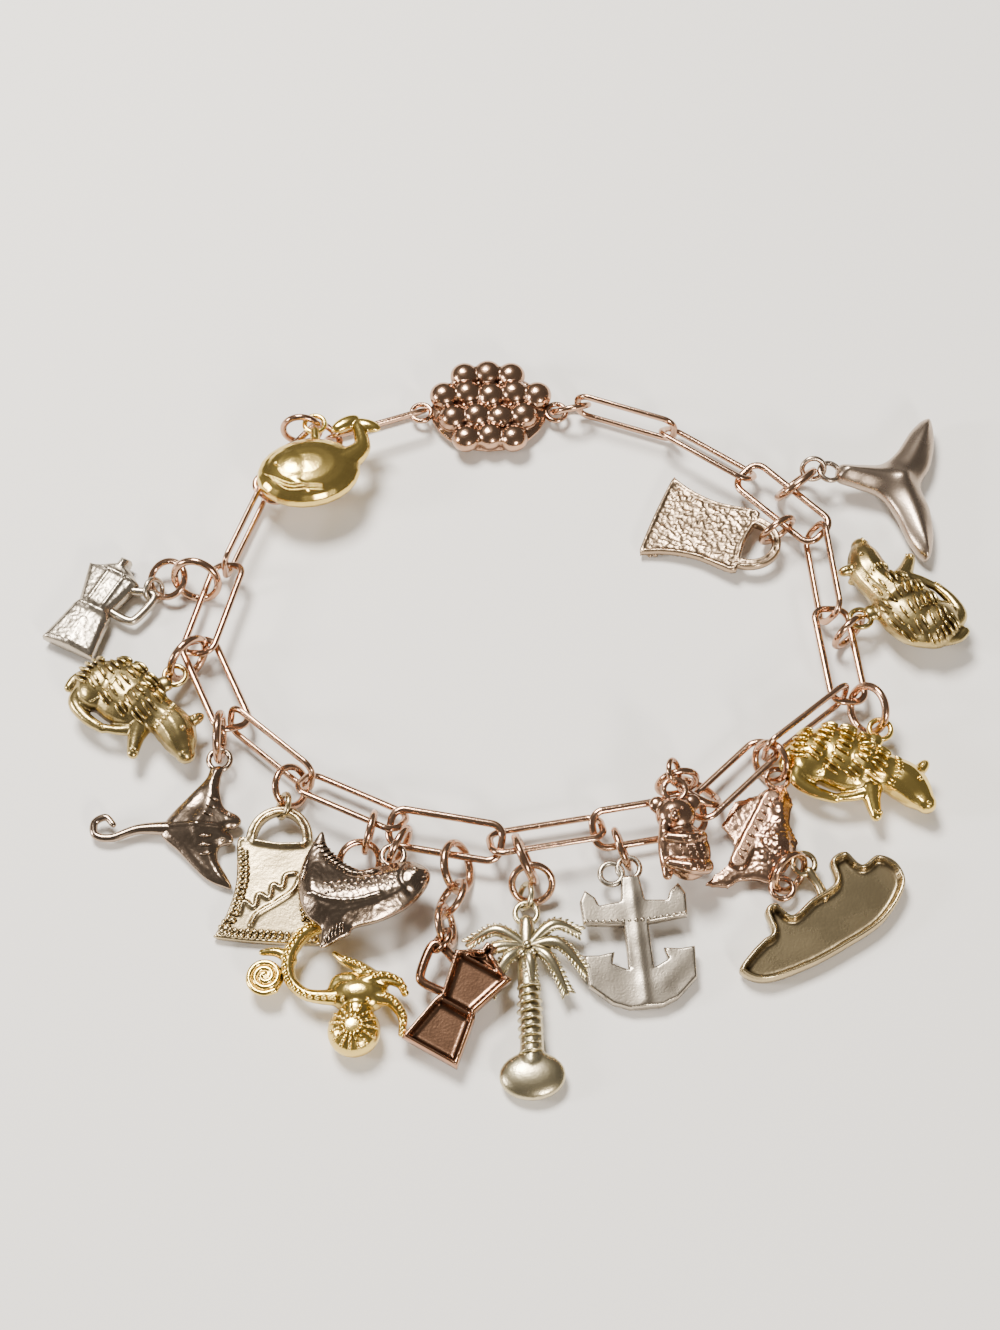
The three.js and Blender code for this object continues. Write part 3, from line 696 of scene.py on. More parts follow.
def ball(half: Point3, at: Point3, turn: float = 0.0, detail: int = 24) -> Shape:
    """An ellipsoid.

    Args:
        half: its half-axes.
        at: its middle.
        turn: its turn in plan, in degrees.
        detail: points round its equator.

    Returns:
        A closed shape.
    """
    rings = []
    angles = np.linspace(0, 2 * math.pi, detail, endpoint=False)
    for a in np.linspace(-0.5, 0.5, detail // 2 + 1) * math.pi * BALL_SPAN:
        r = math.cos(a)
        rings.append(np.column_stack([r * np.cos(angles), r * np.sin(angles), np.full(detail, math.sin(a))]))
    shape = skin(rings)
    shape.points = shape.points * np.array(half)
    return shape.moved(Matrix.Translation(at) @ Matrix.Rotation(math.radians(turn), 4, "Z"))


def taken_from(maker: bpy.types.Object) -> Shape:
    """Takes the shape that an object's modifiers make, and clears the object away.

    Args:
        maker: the object.

    Returns:
        The shape.
    """
    made = bpy.data.meshes.new_from_object(maker.evaluated_get(bpy.context.evaluated_depsgraph_get()))
    shape = Shape.from_mesh(made)
    given = maker.data
    maker.modifiers.clear()
    bpy.data.objects.remove(maker)
    bpy.data.meshes.remove(made)
    bpy.data.meshes.remove(given)
    return shape


def fused(shapes: Sequence[Shape], voxel: float = 0.13, rounds: int = 4) -> Shape:
    """Melts overlapping shapes into one skin.

    Args:
        shapes: closed shapes that overlap.
        voxel: size of the remesh's cells.
        rounds: rounds of smoothing.

    Returns:
        The skin.
    """
    maker = bpy.data.objects.new("casting_wax", joined(shapes).mesh("casting_wax"))
    bpy.context.scene.collection.objects.link(maker)
    remesh = maker.modifiers.new("melt", "REMESH")
    remesh.mode = "VOXEL"
    remesh.voxel_size = voxel
    smooth = maker.modifiers.new("smooth", "SMOOTH")
    smooth.factor = 0.5
    smooth.iterations = rounds
    return taken_from(maker)


def dropped(
    shape: Shape, spots: Sequence[Sequence[float]], ways: Sequence[Sequence[float]]
) -> tuple[np.ndarray, ...]:
    """Drops spots in plan onto the face of a shape.

    Args:
        shape: the shape.
        spots: places in plan.
        ways: the direction in plan of the grain at each.

    Returns:
        The places on the skin, the directions and the normals there, for the spots that hit it.
    """
    tree = BVHTree.FromPolygons(shape.points.tolist(), shape.faces)
    found = []
    for (x, y), (u, v) in zip(spots, ways):
        place, normal, _, _ = tree.ray_cast(Vector((x, y, DROP_FROM)), Vector((0, 0, -1)))
        if place is not None and normal.z > FLAT_ENOUGH:
            found.append((place, (u, v, 0.0), normal))
    return tuple(np.array([[*row[i]] for row in found]).reshape(-1, 3) for i in range(3))


# ---------------------------------------------------------------- bent wire, by Geometry Nodes


class MakerTree:
    """A Geometry Nodes tree with named sizes, which makes a shape out of the mesh that it is given.

    Attributes:
        tree: the tree.
        sockets: the identifier of each input.
    """

    SIZES: ClassVar[tuple[str, ...]] = ()

    def __init__(self, name: str) -> None:
        """Builds the tree under that name."""
        self.tree = bpy.data.node_groups.new(name, "GeometryNodeTree")
        interface = self.tree.interface
        interface.new_socket("Points", in_out="INPUT", socket_type="NodeSocketGeometry")
        for size in self.SIZES:
            interface.new_socket(size, in_out="INPUT", socket_type="NodeSocketFloat")
        interface.new_socket("Metal", in_out="INPUT", socket_type="NodeSocketMaterial")
        interface.new_socket("Shape", in_out="OUTPUT", socket_type="NodeSocketGeometry")
        given = self.tree.nodes.new("NodeGroupInput").outputs
        real = add(self.tree, "GeometryNodeRealizeInstances", {"Geometry": self._make(given)})
        dress = add(self.tree, "GeometryNodeSetMaterial", {
            "Geometry": real.outputs["Geometry"],
            "Material": given["Metal"],
        })
        add(self.tree, "NodeGroupOutput", {"Shape": dress.outputs["Geometry"]})
        self.sockets = {item.name: item.identifier for item in interface.items_tree if item.in_out == "INPUT"}

    def _make(self, given: bpy.types.NodeOutputs) -> bpy.types.NodeSocket:
        """Adds the nodes that make the geometry, and gives the socket that it leaves by."""
        raise NotImplementedError

    def run(self, mesh: bpy.types.Mesh, sizes: Sequence[float]) -> Shape:
        """Runs the tree on a mesh.

        Args:
            mesh: the mesh.
            sizes: a value for each of the named sizes.

        Returns:
            The shape that it makes.
        """
        maker = bpy.data.objects.new(mesh.name, mesh)
        bpy.context.scene.collection.objects.link(maker)
        modifier = maker.modifiers.new("make", "NODES")
        modifier.node_group = self.tree
        for name, value in zip(self.SIZES, sizes):
            modifier[self.sockets[name]] = float(value)
        return taken_from(maker)


class WireTree(MakerTree):
    """The tree that bends a wire round a rounded oblong: links, jump rings and cast loops."""

    SIZES = ("Length", "Width", "Corner", "Wire", "Thickness")
    CORNER_STEPS: ClassVar[int] = 12
    SECTION_POINTS: ClassVar[int] = 14
    # The share of half a ring's width that its corners take, so that they don't quite meet.
    ROUND: ClassVar[float] = 0.9999

    def _make(self, given: bpy.types.NodeOutputs) -> bpy.types.NodeSocket:
        """Sweeps the wire's section round the oblong."""
        tree = self.tree
        oblong = add(tree, "GeometryNodeCurvePrimitiveQuadrilateral", {
            "Width": given["Length"],
            "Height": given["Width"],
        })
        corners = tree.nodes.new("GeometryNodeFilletCurve")
        corners.mode = "POLY"
        fill(tree, corners, {
            "Count": self.CORNER_STEPS,
            "Curve": oblong.outputs["Curve"],
            "Radius": given["Corner"],
        })
        section = add(tree, "GeometryNodeCurvePrimitiveCircle",
                      {"Resolution": self.SECTION_POINTS, "Radius": 0.5})
        squeeze = add(tree, "ShaderNodeCombineXYZ", {"X": given["Wire"], "Y": given["Thickness"], "Z": 1.0})
        flat = add(tree, "GeometryNodeTransform", {
            "Geometry": section.outputs["Curve"],
            "Scale": squeeze.outputs["Vector"],
        })
        sweep = add(tree, "GeometryNodeCurveToMesh", {
            "Curve": corners.outputs["Curve"],
            "Profile Curve": flat.outputs["Geometry"],
        })
        return sweep.outputs["Mesh"]

    def bend(self, length: float, width: float, corner: float, wire: float, thickness: float) -> Shape:
        """Bends one wire.

        Args:
            length: length of the centre line's oblong.
            width: width of the centre line's oblong.
            corner: radius of its corners.
            wire: width of the wire in the oblong's plane.
            thickness: thickness of the wire across that plane.

        Returns:
            The wire, in the XY plane about the origin.
        """
        return self.run(bpy.data.meshes.new("wire"), (length, width, corner, wire, thickness))

    def ring(self, radius: float, wire: float) -> Shape:
        """A round ring of that centre-line radius."""
        return self.bend(2 * radius, 2 * radius, radius * self.ROUND, wire, wire)

    def eye(self, x: float = 0.0, y: float = 0.0) -> Shape:
        """A cast loop at that place."""
        return self.ring(LOOP_RADIUS, LOOP_WIRE).moved(Matrix.Translation((x, y, 0)))


# ---------------------------------------------------------------- grains, by Geometry Nodes


class GrainTree(MakerTree):
    """The tree that sets small rounded grains on points: hair, beads, suckers, ribs and ticks."""

    SIZES = ("Length", "Width", "Height")
    DETAIL: ClassVar[int] = 2
    # The smallest and largest growth of a grain, and the seed that picks between them.
    GROWTH: ClassVar[Point] = (0.85, 1.12)
    SEED: ClassVar[int] = 11
    # How far a grain's middle stands above its point, as a share of its height.
    PROUD: ClassVar[float] = 0.14

    def _make(self, given: bpy.types.NodeOutputs) -> bpy.types.NodeSocket:
        """Turns a grain to each point's directions and lets it grow a little more or less."""
        tree = self.tree
        grain = add(tree, "GeometryNodeMeshIcoSphere", {"Radius": 0.5, "Subdivisions": self.DETAIL})
        size = add(tree, "ShaderNodeCombineXYZ", {axis: given[name] for axis, name in zip("XYZ", self.SIZES)})
        turn = tree.nodes.new("FunctionNodeAxesToRotation")
        turn.primary_axis, turn.secondary_axis = "Z", "X"
        fill(tree, turn, {"Primary Axis": self._vector("rise"), "Secondary Axis": self._vector("way")})
        vary = add(tree, "FunctionNodeRandomValue", {2: self.GROWTH[0], 3: self.GROWTH[1], "Seed": self.SEED})
        grown = tree.nodes.new("ShaderNodeVectorMath")
        grown.operation = "SCALE"
        fill(tree, grown, {"Vector": size.outputs["Vector"], "Scale": vary.outputs[1]})
        settle = add(tree, "GeometryNodeInstanceOnPoints", {
            "Points": given["Points"],
            "Instance": grain.outputs["Mesh"],
            "Rotation": turn.outputs["Rotation"],
            "Scale": grown.outputs["Vector"],
        })
        return settle.outputs["Instances"]

    def _vector(self, name: str) -> bpy.types.NodeSocket:
        """The socket of a vector attribute of that name."""
        node = self.tree.nodes.new("GeometryNodeInputNamedAttribute")
        node.data_type = "FLOAT_VECTOR"
        node.inputs["Name"].default_value = name
        return next(socket for socket in node.outputs if socket.enabled and socket.type == "VECTOR")

    def set(self, places: np.ndarray, ways: np.ndarray, rises: np.ndarray, size: Point3) -> Shape:
        """Sets a grain on each point.

        Args:
            places: the points.
            ways: the direction of each grain's length.
            rises: the direction of each grain's height.
            size: length, width and height of a grain.

        Returns:
            The grains.
        """
        mesh = bpy.data.meshes.new("grains")
        proud = np.asarray(places) + self.PROUD * size[2] * np.asarray(rises)
        mesh.from_pydata(proud.tolist(), [], [])
        for name, vectors in (("way", ways), ("rise", rises)):
            data = mesh.attributes.new(name, "FLOAT_VECTOR", "POINT").data
            data.foreach_set("vector", np.asarray(vectors, np.float32).ravel())
        return self.run(mesh, size)


# ---------------------------------------------------------------- pieces


class Workshop:
    """Makes Blender objects out of shapes and fastens them to the frame."""

    def __init__(self) -> None:
        """Starts with no materials made."""
        self.wires = WireTree("bent_wire")
        self.grains = GrainTree("set_grains")
        self._materials: dict[str, bpy.types.Material] = {}

    def metal(self, finish: MetalFinish) -> bpy.types.Material:
        """The finish's material, made once."""
        if finish.name not in self._materials:
            self._materials[finish.name] = finish.build()
        return self._materials[finish.name]

    def piece(self, name: str, shape: Shape, finish: MetalFinish, node: str) -> bpy.types.Object:
        """Makes a finished piece.

        Args:
            name: the piece's name.
            shape: its shape, in metres in the frame.
            finish: its metal.
            node: the CAD node it stands for.

        Returns:
            The object.
        """
        piece = bpy.data.objects.new(name, shape.mesh(name))
        bpy.context.scene.collection.objects.link(piece)
        piece.data.materials.append(self.metal(finish))
        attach(piece, "root")
        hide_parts(node)
        LOG.info("%s: %d faces", name, len(shape.faces))
        return piece


class RingSize(Enum):
    """Centre-line radius and wire of the bracelet's jump rings, in millimetres."""

    BIG = (2.3, 0.8)
    MID = (1.9, 0.7)


@dataclass
class Chain:
    """The links and the jump rings.

    Attributes:
        workshop: makes the pieces.
        big_rings: the charms whose first jump ring is a big one.
    """

    workshop: Workshop
    big_rings: tuple[str, ...] = (
        "whale_tail", "quokka_lower", "koala", "palm", "moka_pot_rose", "manta", "quokka_left",
        "moka_pot_silver",
    )

    def build(self) -> None:
        """Builds every link and ring where the frame has it."""
        wires = self.workshop.wires
        length, width = LINK_LENGTH - LINK_WIRE, LINK_WIDTH - LINK_WIRE
        link = wires.bend(length, width, LINK_CORNER, LINK_WIRE, LINK_THICKNESS)
        rings = {size: wires.ring(*size.value) for size in RingSize}
        big = {f"ring_{charm}_1" for charm in self.big_rings}
        for node in sorted(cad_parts):
            if node.startswith("link_"):
                shape = link
            elif node.startswith("ring_"):
                shape = rings[RingSize.BIG if node in big else RingSize.MID]
            else:
                continue
            lie = Matrix.Scale(MM, 4) @ lie_of(node)
            self.workshop.piece(node + "_wire", shape.moved(lie), ROSE, node)


@dataclass
class Charm:
    """A cast charm.

    Attributes:
        workshop: makes its piece.
        node: its CAD node.
        place: where it lies.
        finish: its metal.
        small_ring: roll of the small ring soldered into its loop, or None.
        bar: thickness of the bar that the small ring goes round, or 0 where it goes through the loop.
        looped: whether the charm has a cast loop at its origin.
    """

    workshop: Workshop
    node: str
    place: Place
    finish: MetalFinish
    small_ring: float | None = None
    bar: float = 0.0
    looped: bool = True

    def body(self) -> list[Shape]:
        """The shapes of the casting itself, in its own frame."""
        raise NotImplementedError

    def grains(self, on: Shape, spots: Sequence[Sequence[float]], ways: Sequence, size: Point3) -> Shape:
        """Sets grains on the face of a shape.

        Args:
            on: the shape.
            spots: places in plan.
            ways: the direction in plan of the grain at each, or one direction for all.
            size: length, width and height of a grain.

        Returns:
            The grains.
        """
        each = np.broadcast_to(np.asarray(ways, float), (len(spots), 2))
        return self.workshop.grains.set(*dropped(on, spots, each), size)

    def rings(self) -> list[Shape]:
        """The cast loop and the small soldered ring."""
        wires = self.workshop.wires
        made = [wires.eye()] if self.looped else []
        if self.small_ring is not None:
            reach = -(SMALL_WIRE + self.bar) / 2 if self.bar else LOOP_RADIUS - (SMALL_WIRE + LOOP_WIRE) / 2
            turn = Matrix.Rotation(math.radians(self.small_ring), 4, "Y")
            shift = Matrix.Translation((0, SMALL_RADIUS + reach + SOLDER, 0))
            made.append(wires.ring(SMALL_RADIUS, SMALL_WIRE).moved(shift @ turn))
        return made

    def build(self) -> bpy.types.Object:
        """Builds the charm at its place."""
        shape = self.place.lay(joined([*self.body(), *self.rings()]), self.node)
        return self.workshop.piece(self.node + "_casting", shape, self.finish, self.node)


def ways_along(path: np.ndarray) -> np.ndarray:
    """The direction of a path at each of its points."""
    way = np.gradient(path, axis=0)
    return way / np.linalg.norm(way, axis=1)[:, None]


def ways_across(path: np.ndarray) -> np.ndarray:
    """The direction to the left of a path in plan at each of its points."""
    along = ways_along(path)
    return np.column_stack([-along[:, 1], along[:, 0]])


def offset_row(path: np.ndarray, aside: float) -> np.ndarray:
    """A path moved to its left by a distance, in plan."""
    return path + aside * ways_across(path)


def mirrored(half: Sequence[Point]) -> list[Point]:
    """The other half of a symmetric outline, in reverse order."""
    return [(-x, y) for x, y in reversed(half)]


def under(heights: Heights) -> Heights:
    """The same heights, hanging down."""
    return lambda p, d: -heights(p, d)


# ---------------------------------------------------------------- charms


@dataclass
class WhaleTail(Charm):
    """A polished whale's tail: a plump stalk that spreads into two swept flukes."""

    thick: float = 1.35
    shoulder: float = 2.2
    fluke_crest: float = 0.2
    stalk_crest: float = 0.3
    spacing: float = 0.24

    def body(self) -> list[Shape]:
        """The tail, domed on both sides."""
        half = ((0.8, -0.9), (1.3, -3.0), (1.9, -5.4), (3.8, -7.1), (6.8, -8.6), (8.5, -9.9), (8.6, -10.8),
                (6.0, -11.2), (2.8, -10.8))
        outline = smooth_path([*half, (0, -9.8), *mirrored(half)], 0.2, closed=True)
        flukes = [smooth_path([(0, -7.6), (side * 3.6, -8.8), (side * 7.8, -10.1)], 0.4) for side in (-1, 1)]
        stalk = np.array([(0, -1.0), (0, -7.0)])

        def face(p: np.ndarray, d: np.ndarray) -> np.ndarray:
            """A dome with a crest along each fluke and the stalk."""
            crests = self.fluke_crest * sum(ridge(p, line, 1.8) for line in flukes)
            crests += self.stalk_crest * ridge(p, stalk, 2.4)
            return rounded(self.thick, 0.1, self.shoulder)(p, d) + crests * rise(d, 1.0)

        return [Relief(outline, face, under(face), spacing=self.spacing).shape()]


@dataclass
class ToteBag(Charm):
    """A tote bag: concave sides, a D-shaped hand hole, a corded border and a brushed field."""

    bead: Point3 = (0.8, 0.496, 0.6)
    row_gap: float = 0.46
    pitch: float = 0.55
    slant: float = 0.9
    field: float = 0.2
    rolled_rim: float = 0.32
    sweep_height: float = 0.26
    curl_height: float = 0.24
    spacing: float = 0.16

    def body(self) -> list[Shape]:
        """The bag with its corded stitches and a plain flourish."""
        handle = arc(0, -3.0, 3.2, 3.4, 0, 180, 32)
        left = smooth_path([(-3.2, -3.0), (-3.95, -3.4), (-3.6, -7.4), (-4.05, -10.4), (-4.95, -12.8)], 0.25)
        right = left[::-1] * (-1, 1)
        foot = smooth_path([(-4.95, -12.8), (-4.7, -13.1), (0, -13.25), (4.7, -13.1), (4.95, -12.8)], 0.25)
        outline = np.vstack([handle, left[1:-1], foot, right[1:-1]])
        hole = np.vstack([arc(0, -3.0, 2.2, 2.5, 6, 174, 22),
                          smooth_path([(-2.2, -3.1), (0, -3.3), (2.2, -3.1)], 0.3)])
        sweep = smooth_path([(-1.7, -11.6), (-1.2, -10.5), (0.4, -9.3), (1.9, -8.0), (2.4, -6.6)], 0.15)
        curls = smooth_path([(-2.9, -10.6), (-2.6, -9.4), (-1.6, -9.9), (-1.3, -8.6), (-0.3, -8.9),
                             (-0.1, -7.6), (0.8, -7.8), (1.0, -6.6), (1.9, -6.3)], 0.12)

        def face(p: np.ndarray, d: np.ndarray) -> np.ndarray:
            """A brushed field with the flourish, a rolled rim round the hand hole and a raised edge."""
            brushed = 0.006 * speckle(p, 5.0) + 0.03 * speckle(p, 0.5)
            flourish = self.sweep_height * ridge(p, sweep, 0.4) + self.curl_height * ridge(p, curls, 0.34)
            rim = self.rolled_rim * bump(distance_to(p, hole, True), 0.3, 0.22)
            edge = 0.16 * bump(d, 0.14, 0.14)
            return self.field + 0.14 * rise(d, 0.3) + rim + edge + flourish + brushed * (d > 0.05)

        def back(p: np.ndarray, d: np.ndarray) -> np.ndarray:
            """A pebbled field within a rim."""
            pebbles = 0.07 * speckle(p, 4.2) + 0.07 * speckle(p, 7.0, 3.0)
            rim = 0.2 * bump(d, 0.2, 0.18)
            return -(0.3 + rim + 0.05 * rise(d, 1.0) + pebbles * rise(d, 0.4))

        bag = Relief(outline, face, back, holes=[hole], spacing=self.spacing).shape()
        border = smooth_path([(-3.5, -4.3), (-3.15, -7.4), (-3.6, -10.5), (-4.3, -12.55), (0, -12.75),
                              (4.3, -12.55), (3.6, -10.5), (3.15, -7.4), (3.5, -4.3)], self.pitch)
        inner = offset_row(border, self.row_gap)[1:-1]
        rows = ((border, self.slant), (inner, -self.slant))
        lean = [ways_along(row) + slant * ways_across(row) for row, slant in rows]
        return [bag, self.grains(bag, np.vstack([border, inner]), np.vstack(lean), self.bead)]


@dataclass
class Quokka(Charm):
    """A small round marsupial on all fours, its coat cut in columns of short strokes."""

    hair: Point3 = (1.8, 0.38, 0.76)
    pitch: float = 0.64
    lean: float = 0.16
    mane_hair: Point3 = (0.8, 0.2, 0.3)
    crease: Point3 = (0.6, 0.24, 0.2)
    eye: Point3 = (0.55, 0.5, 0.5)
    ear: Point3 = (0.7, 0.3, 0.3)
    claw: Point3 = (0.6, 0.26, 0.36)

    def body(self) -> list[Shape]:
        """The animal with its coat, eye and claws."""
        pelt = fused([
            ball((4.6, 3.35, 2.1), (-2.5, -4.5, 0)), ball((2.5, 2.8, 1.95), (-5.1, -5.3, 0.1), 20),
            tube([(-0.4, -4.5, 0), (2.0, -4.3, 0), (3.8, -4.6, 0), (5.3, -5.4, 0), (6.3, -6.0, 0)],
                 (2.5, 1.9, 2.0, 1.65, 1.05)),
            ball((1.05, 0.6, 0.6), (4.9, -2.75, 0.4), 70), ball((0.6, 0.4, 0.5), (4.0, -2.9, -0.6), 70),
            tube([(-6.0, -6.6, 0.1), (-5.9, -8.1, 0.1), (-4.0, -8.75, 0.1), (-1.9, -8.7, 0.1)],
                 (1.2, 0.8, 0.62, 0.5)),
            tube([(0.7, -5.8, 0.1), (1.4, -7.6, 0.1), (2.2, -9.0, 0.1)], (1.3, 0.85, 0.6)),
            tube([(-2.2, -8.7, 0.1), (-0.6, -8.0, 0.2), (0.8, -6.9, 0.2)], (0.42, 0.5, 0.7)),
            tube([(-7.2, -5.0, 0.0), (-7.7, -6.2, 0.0), (-7.6, -7.2, 0.0)], (0.6, 0.55, 0.5)),
            ball((0.9, 0.8, 0.6), (-0.2, -1.3, 0)),
        ])
        columns = (
            [(-6.5, -2.9), (-6.9, -4.6), (-6.5, -6.3)], [(-4.7, -1.8), (-4.9, -3.8), (-5.3, -6.0)],
            [(-2.9, -1.6), (-2.8, -3.8), (-3.3, -6.6)], [(-1.0, -1.9), (-0.7, -4.0), (-1.3, -6.6)],
            [(0.9, -2.9), (1.0, -4.4), (0.6, -6.1)],
        )
        rows = [smooth_path(column, self.pitch) for column in columns]
        across = [ways_across(row) + self.lean * ways_along(row) for row in rows]
        coat = self.grains(pelt, np.vstack(rows), np.vstack(across), self.hair)
        mane = smooth_path([(2.5, -3.0), (2.9, -4.4), (2.6, -5.8)], 0.34)
        nape = self.grains(pelt, mane, (1, -0.1), self.mane_hair)
        thigh = smooth_path([(-3.6, -4.4), (-3.5, -5.9), (-4.2, -7.3)], 0.3)
        crease = self.grains(pelt, thigh, ways_along(thigh), self.crease)
        eye = self.grains(pelt, [(5.0, -4.5)], (1, 0), self.eye)
        ear = self.grains(pelt, [(4.9, -2.6)], (0.3, 1), self.ear)
        toes = [(-2.3, -8.75), (-1.9, -8.7), (2.1, -8.9), (2.45, -8.75), (6.5, -6.3)]
        claws = self.grains(pelt, toes, (1, -0.2), self.claw)
        return [pelt, coat, nape, crease, eye, ear, claws]


@dataclass
class Ship(Charm):
    """A cast ship seen from its hollow back: a raised rim round a granular pan, with two deckhouses."""

    rim: float = 0.95
    slope: float = 2.6
    spacing: float = 0.17

    def body(self) -> list[Shape]:
        """The hull and its stalk."""
        edge = ((-10.9, -6.3), (-9.3, -5.3), (-7.5, -4.7), (-6.3, -4.4), (-5.8, -2.4), (-4.6, -2.2),
                (-3.8, -3.9), (-1.4, -3.4), (1.5, -3.0), (2.3, -1.0), (4.0, -0.9), (4.7, -2.7), (6.6, -2.6),
                (7.8, -4.2), (7.2, -6.4), (3.6, -8.4), (-1.0, -8.9), (-5.2, -8.9), (-9.3, -8.2))
        outline = smooth_path(edge, 0.2, closed=True)

        def face(p: np.ndarray, d: np.ndarray) -> np.ndarray:
            """A raised rim round a pan that slopes to its middle."""
            pan = 0.5 - 0.95 * np.sin(0.5 * math.pi * rise(d, self.slope)) ** 0.8
            grainy = 0.03 * speckle(p, 6.0) + 0.025 * speckle(p, 9.0, 4.0)
            return np.maximum(self.rim * rail(d, 0.26, 0.24), pan + grainy * rise(d - 0.4, 1.0))

        def back(p: np.ndarray, d: np.ndarray) -> np.ndarray:
            """A rounded hull with strakes."""
            strakes = 0.06 * np.cos(6.5 * (p[:, 1] - 0.1 * p[:, 0]))
            return -(0.45 + 0.35 * swell(d, 1.2) + strakes * rise(d - 0.3, 1.0))

        stalk = tube([(0, -0.9, 0), (0.1, -2.4, 0), (0, -3.6, -0.1)], (0.5, 0.45, 0.6))
        return [Relief(outline, face, back, spacing=self.spacing).shape(), stalk]


@dataclass
class Landmass(Charm):
    """A landmass with a ragged coast, a raised diagonal band of ticks and a granular lump of relief."""

    band: float = 0.65
    half_band: float = 0.95
    tick: Point3 = (1.0, 0.26, 0.3)
    tick_pitch: float = 0.72
    lower_eye: Point = (-1.6, -11.3)
    spacing: float = 0.17

    def body(self) -> list[Shape]:
        """The map with its band and its lower loop."""
        coast = ((-0.6, -0.7), (-2.2, -1.6), (-4.6, -2.0), (-5.4, -3.2), (-6.2, -4.2), (-5.6, -5.2),
                 (-5.2, -6.4), (-6.4, -8.4), (-7.6, -9.2), (-8.6, -10.0), (-6.6, -10.5), (-5.6, -10.0),
                 (-4.4, -9.9), (-2.6, -10.6), (-0.8, -9.4), (0.1, -8.4), (0.7, -7.0), (0.2, -5.0),
                 (0.5, -4.0), (1.0, -3.0), (0.6, -1.0))
        base = straight_path(coast, 0.3)
        outline = base + 0.09 * np.column_stack([speckle(base, 5.0), speckle(base, 6.0, 2.0)])
        spine = np.array([(-0.95, -2.0), (-5.2, -8.15)])

        def face(p: np.ndarray, d: np.ndarray) -> np.ndarray:
            """Granular hills, cut by the band's plateau."""
            foot = 0.25
            plateau = foot + (self.band - foot) * rise(self.half_band - distance_to(p, spine), 0.22)
            lump = hill(p, (-1.4, -7.0), (1.7, 2.2))
            bulge = 0.7 * hill(p, (-0.4, -3.4), (1.0, 1.4))
            grain = 0.12 * speckle(p, 5.0) + 0.09 * speckle(p, 9.0, 1.0)
            land = 0.12 + 0.22 * swell(d, 0.5) + grain * rise(lump + 0.25, 1.0) * rise(d, 0.3)
            return np.maximum(land + (lump + bulge) * rise(d, 0.8), plateau)

        def back(p: np.ndarray, d: np.ndarray) -> np.ndarray:
            """A faintly rough plain back."""
            return -(0.35 + 0.2 * swell(d, 0.5) + 0.05 * speckle(p, 7.0) * rise(d, 1.0))

        land = Relief(outline, face, back, spacing=self.spacing).shape()
        row = smooth_path(spine, self.tick_pitch)[1:-1]
        across = ways_across(row)
        across[::2] += 0.5 * ways_along(row)[::2]
        ticks = self.grains(land, row, across, self.tick)
        return [land, ticks, self.workshop.wires.eye(*self.lower_eye)]


@dataclass
class Koala(Charm):
    """A small round-headed animal hugging a branch."""

    tuft: Point3 = (0.6, 0.22, 0.2)
    eye: Point3 = (0.34, 0.34, 0.3)

    def body(self) -> list[Shape]:
        """Head with its ears and nose, body, arms and the branch."""
        whole = fused([
            ball((1.95, 1.75, 1.45), (0, -2.5, 0)), ball((2.3, 2.8, 1.65), (0.9, -6.1, 0), 12),
            ball((0.85, 0.85, 0.55), (-1.7, -1.5, 0.1)), ball((0.85, 0.85, 0.55), (1.6, -1.3, 0.1)),
            ball((0.42, 0.62, 0.45), (-0.2, -2.9, 1.4)),
            tube([(2.2, -4.8, 0.6), (1.0, -5.2, 1.5), (-0.9, -4.9, 1.1)], (0.7, 0.6, 0.5)),
            tube([(2.6, -7.6, 0.4), (1.2, -7.9, 1.4), (-0.8, -7.4, 1.0)], (0.8, 0.7, 0.5)),
            tube([(-1.2, -3.6, 0.6), (-1.3, -6.0, 0.5), (-1.0, -8.4, 0.3)], (0.5, 0.55, 0.5)),
        ])
        tufts = [(x + 0.25 * (j % 2), -4.6 - 0.7 * j) for j in range(6) for x in (0.2, 0.85, 1.5, 2.15)]
        coat = self.grains(whole, tufts, (0.2, -1), self.tuft)
        eyes = self.grains(whole, [(-0.85, -2.3), (0.5, -2.2)], (1, 0), self.eye)
        return [whole, coat, eyes]


@dataclass
class Anchor(Charm):
    """A flat cut anchor with an upturned stock, angular arms and a second eye at its head."""

    edge: float = 0.14
    dot: Point3 = (0.4, 0.34, 0.3)
    dot_pitch: float = 0.62
    second_eye: Point = (-1.7, -0.4)
    spacing: float = 0.24

    def body(self) -> list[Shape]:
        """The anchor."""
        half = ((0.85, -0.9), (1.15, -3.3), (3.2, -3.5), (3.5, -2.7), (4.4, -1.9), (5.0, -3.0), (4.9, -5.2),
                (1.15, -5.6), (1.2, -9.9), (2.6, -9.2), (2.3, -8.1), (3.8, -8.3), (5.2, -8.2), (5.0, -11.2),
                (3.0, -13.0), (1.5, -13.6))
        outline = straight_path([*half, *mirrored(half)], 0.22)
        shank = np.array([(0, -1.0), (0, -13.0)])

        def face(p: np.ndarray, d: np.ndarray) -> np.ndarray:
            """A plate with a bevelled edge and a faint crest along the shank."""
            bevel = 0.38 + 0.26 * rise(d, self.edge) ** 0.6
            return bevel + 0.1 * ridge(p, shank, 0.9) + 0.05 * speckle(p, 0.6)

        anchor = Relief(outline, face, under(face), spacing=self.spacing).shape()
        row = smooth_path([(-4.6, -5.0), (-2.4, -5.2), (0, -5.3), (2.4, -5.2), (4.6, -5.0)], self.dot_pitch)
        dots = self.grains(anchor, row, ways_along(row), self.dot)
        return [anchor, dots, self.workshop.wires.eye(*self.second_eye)]


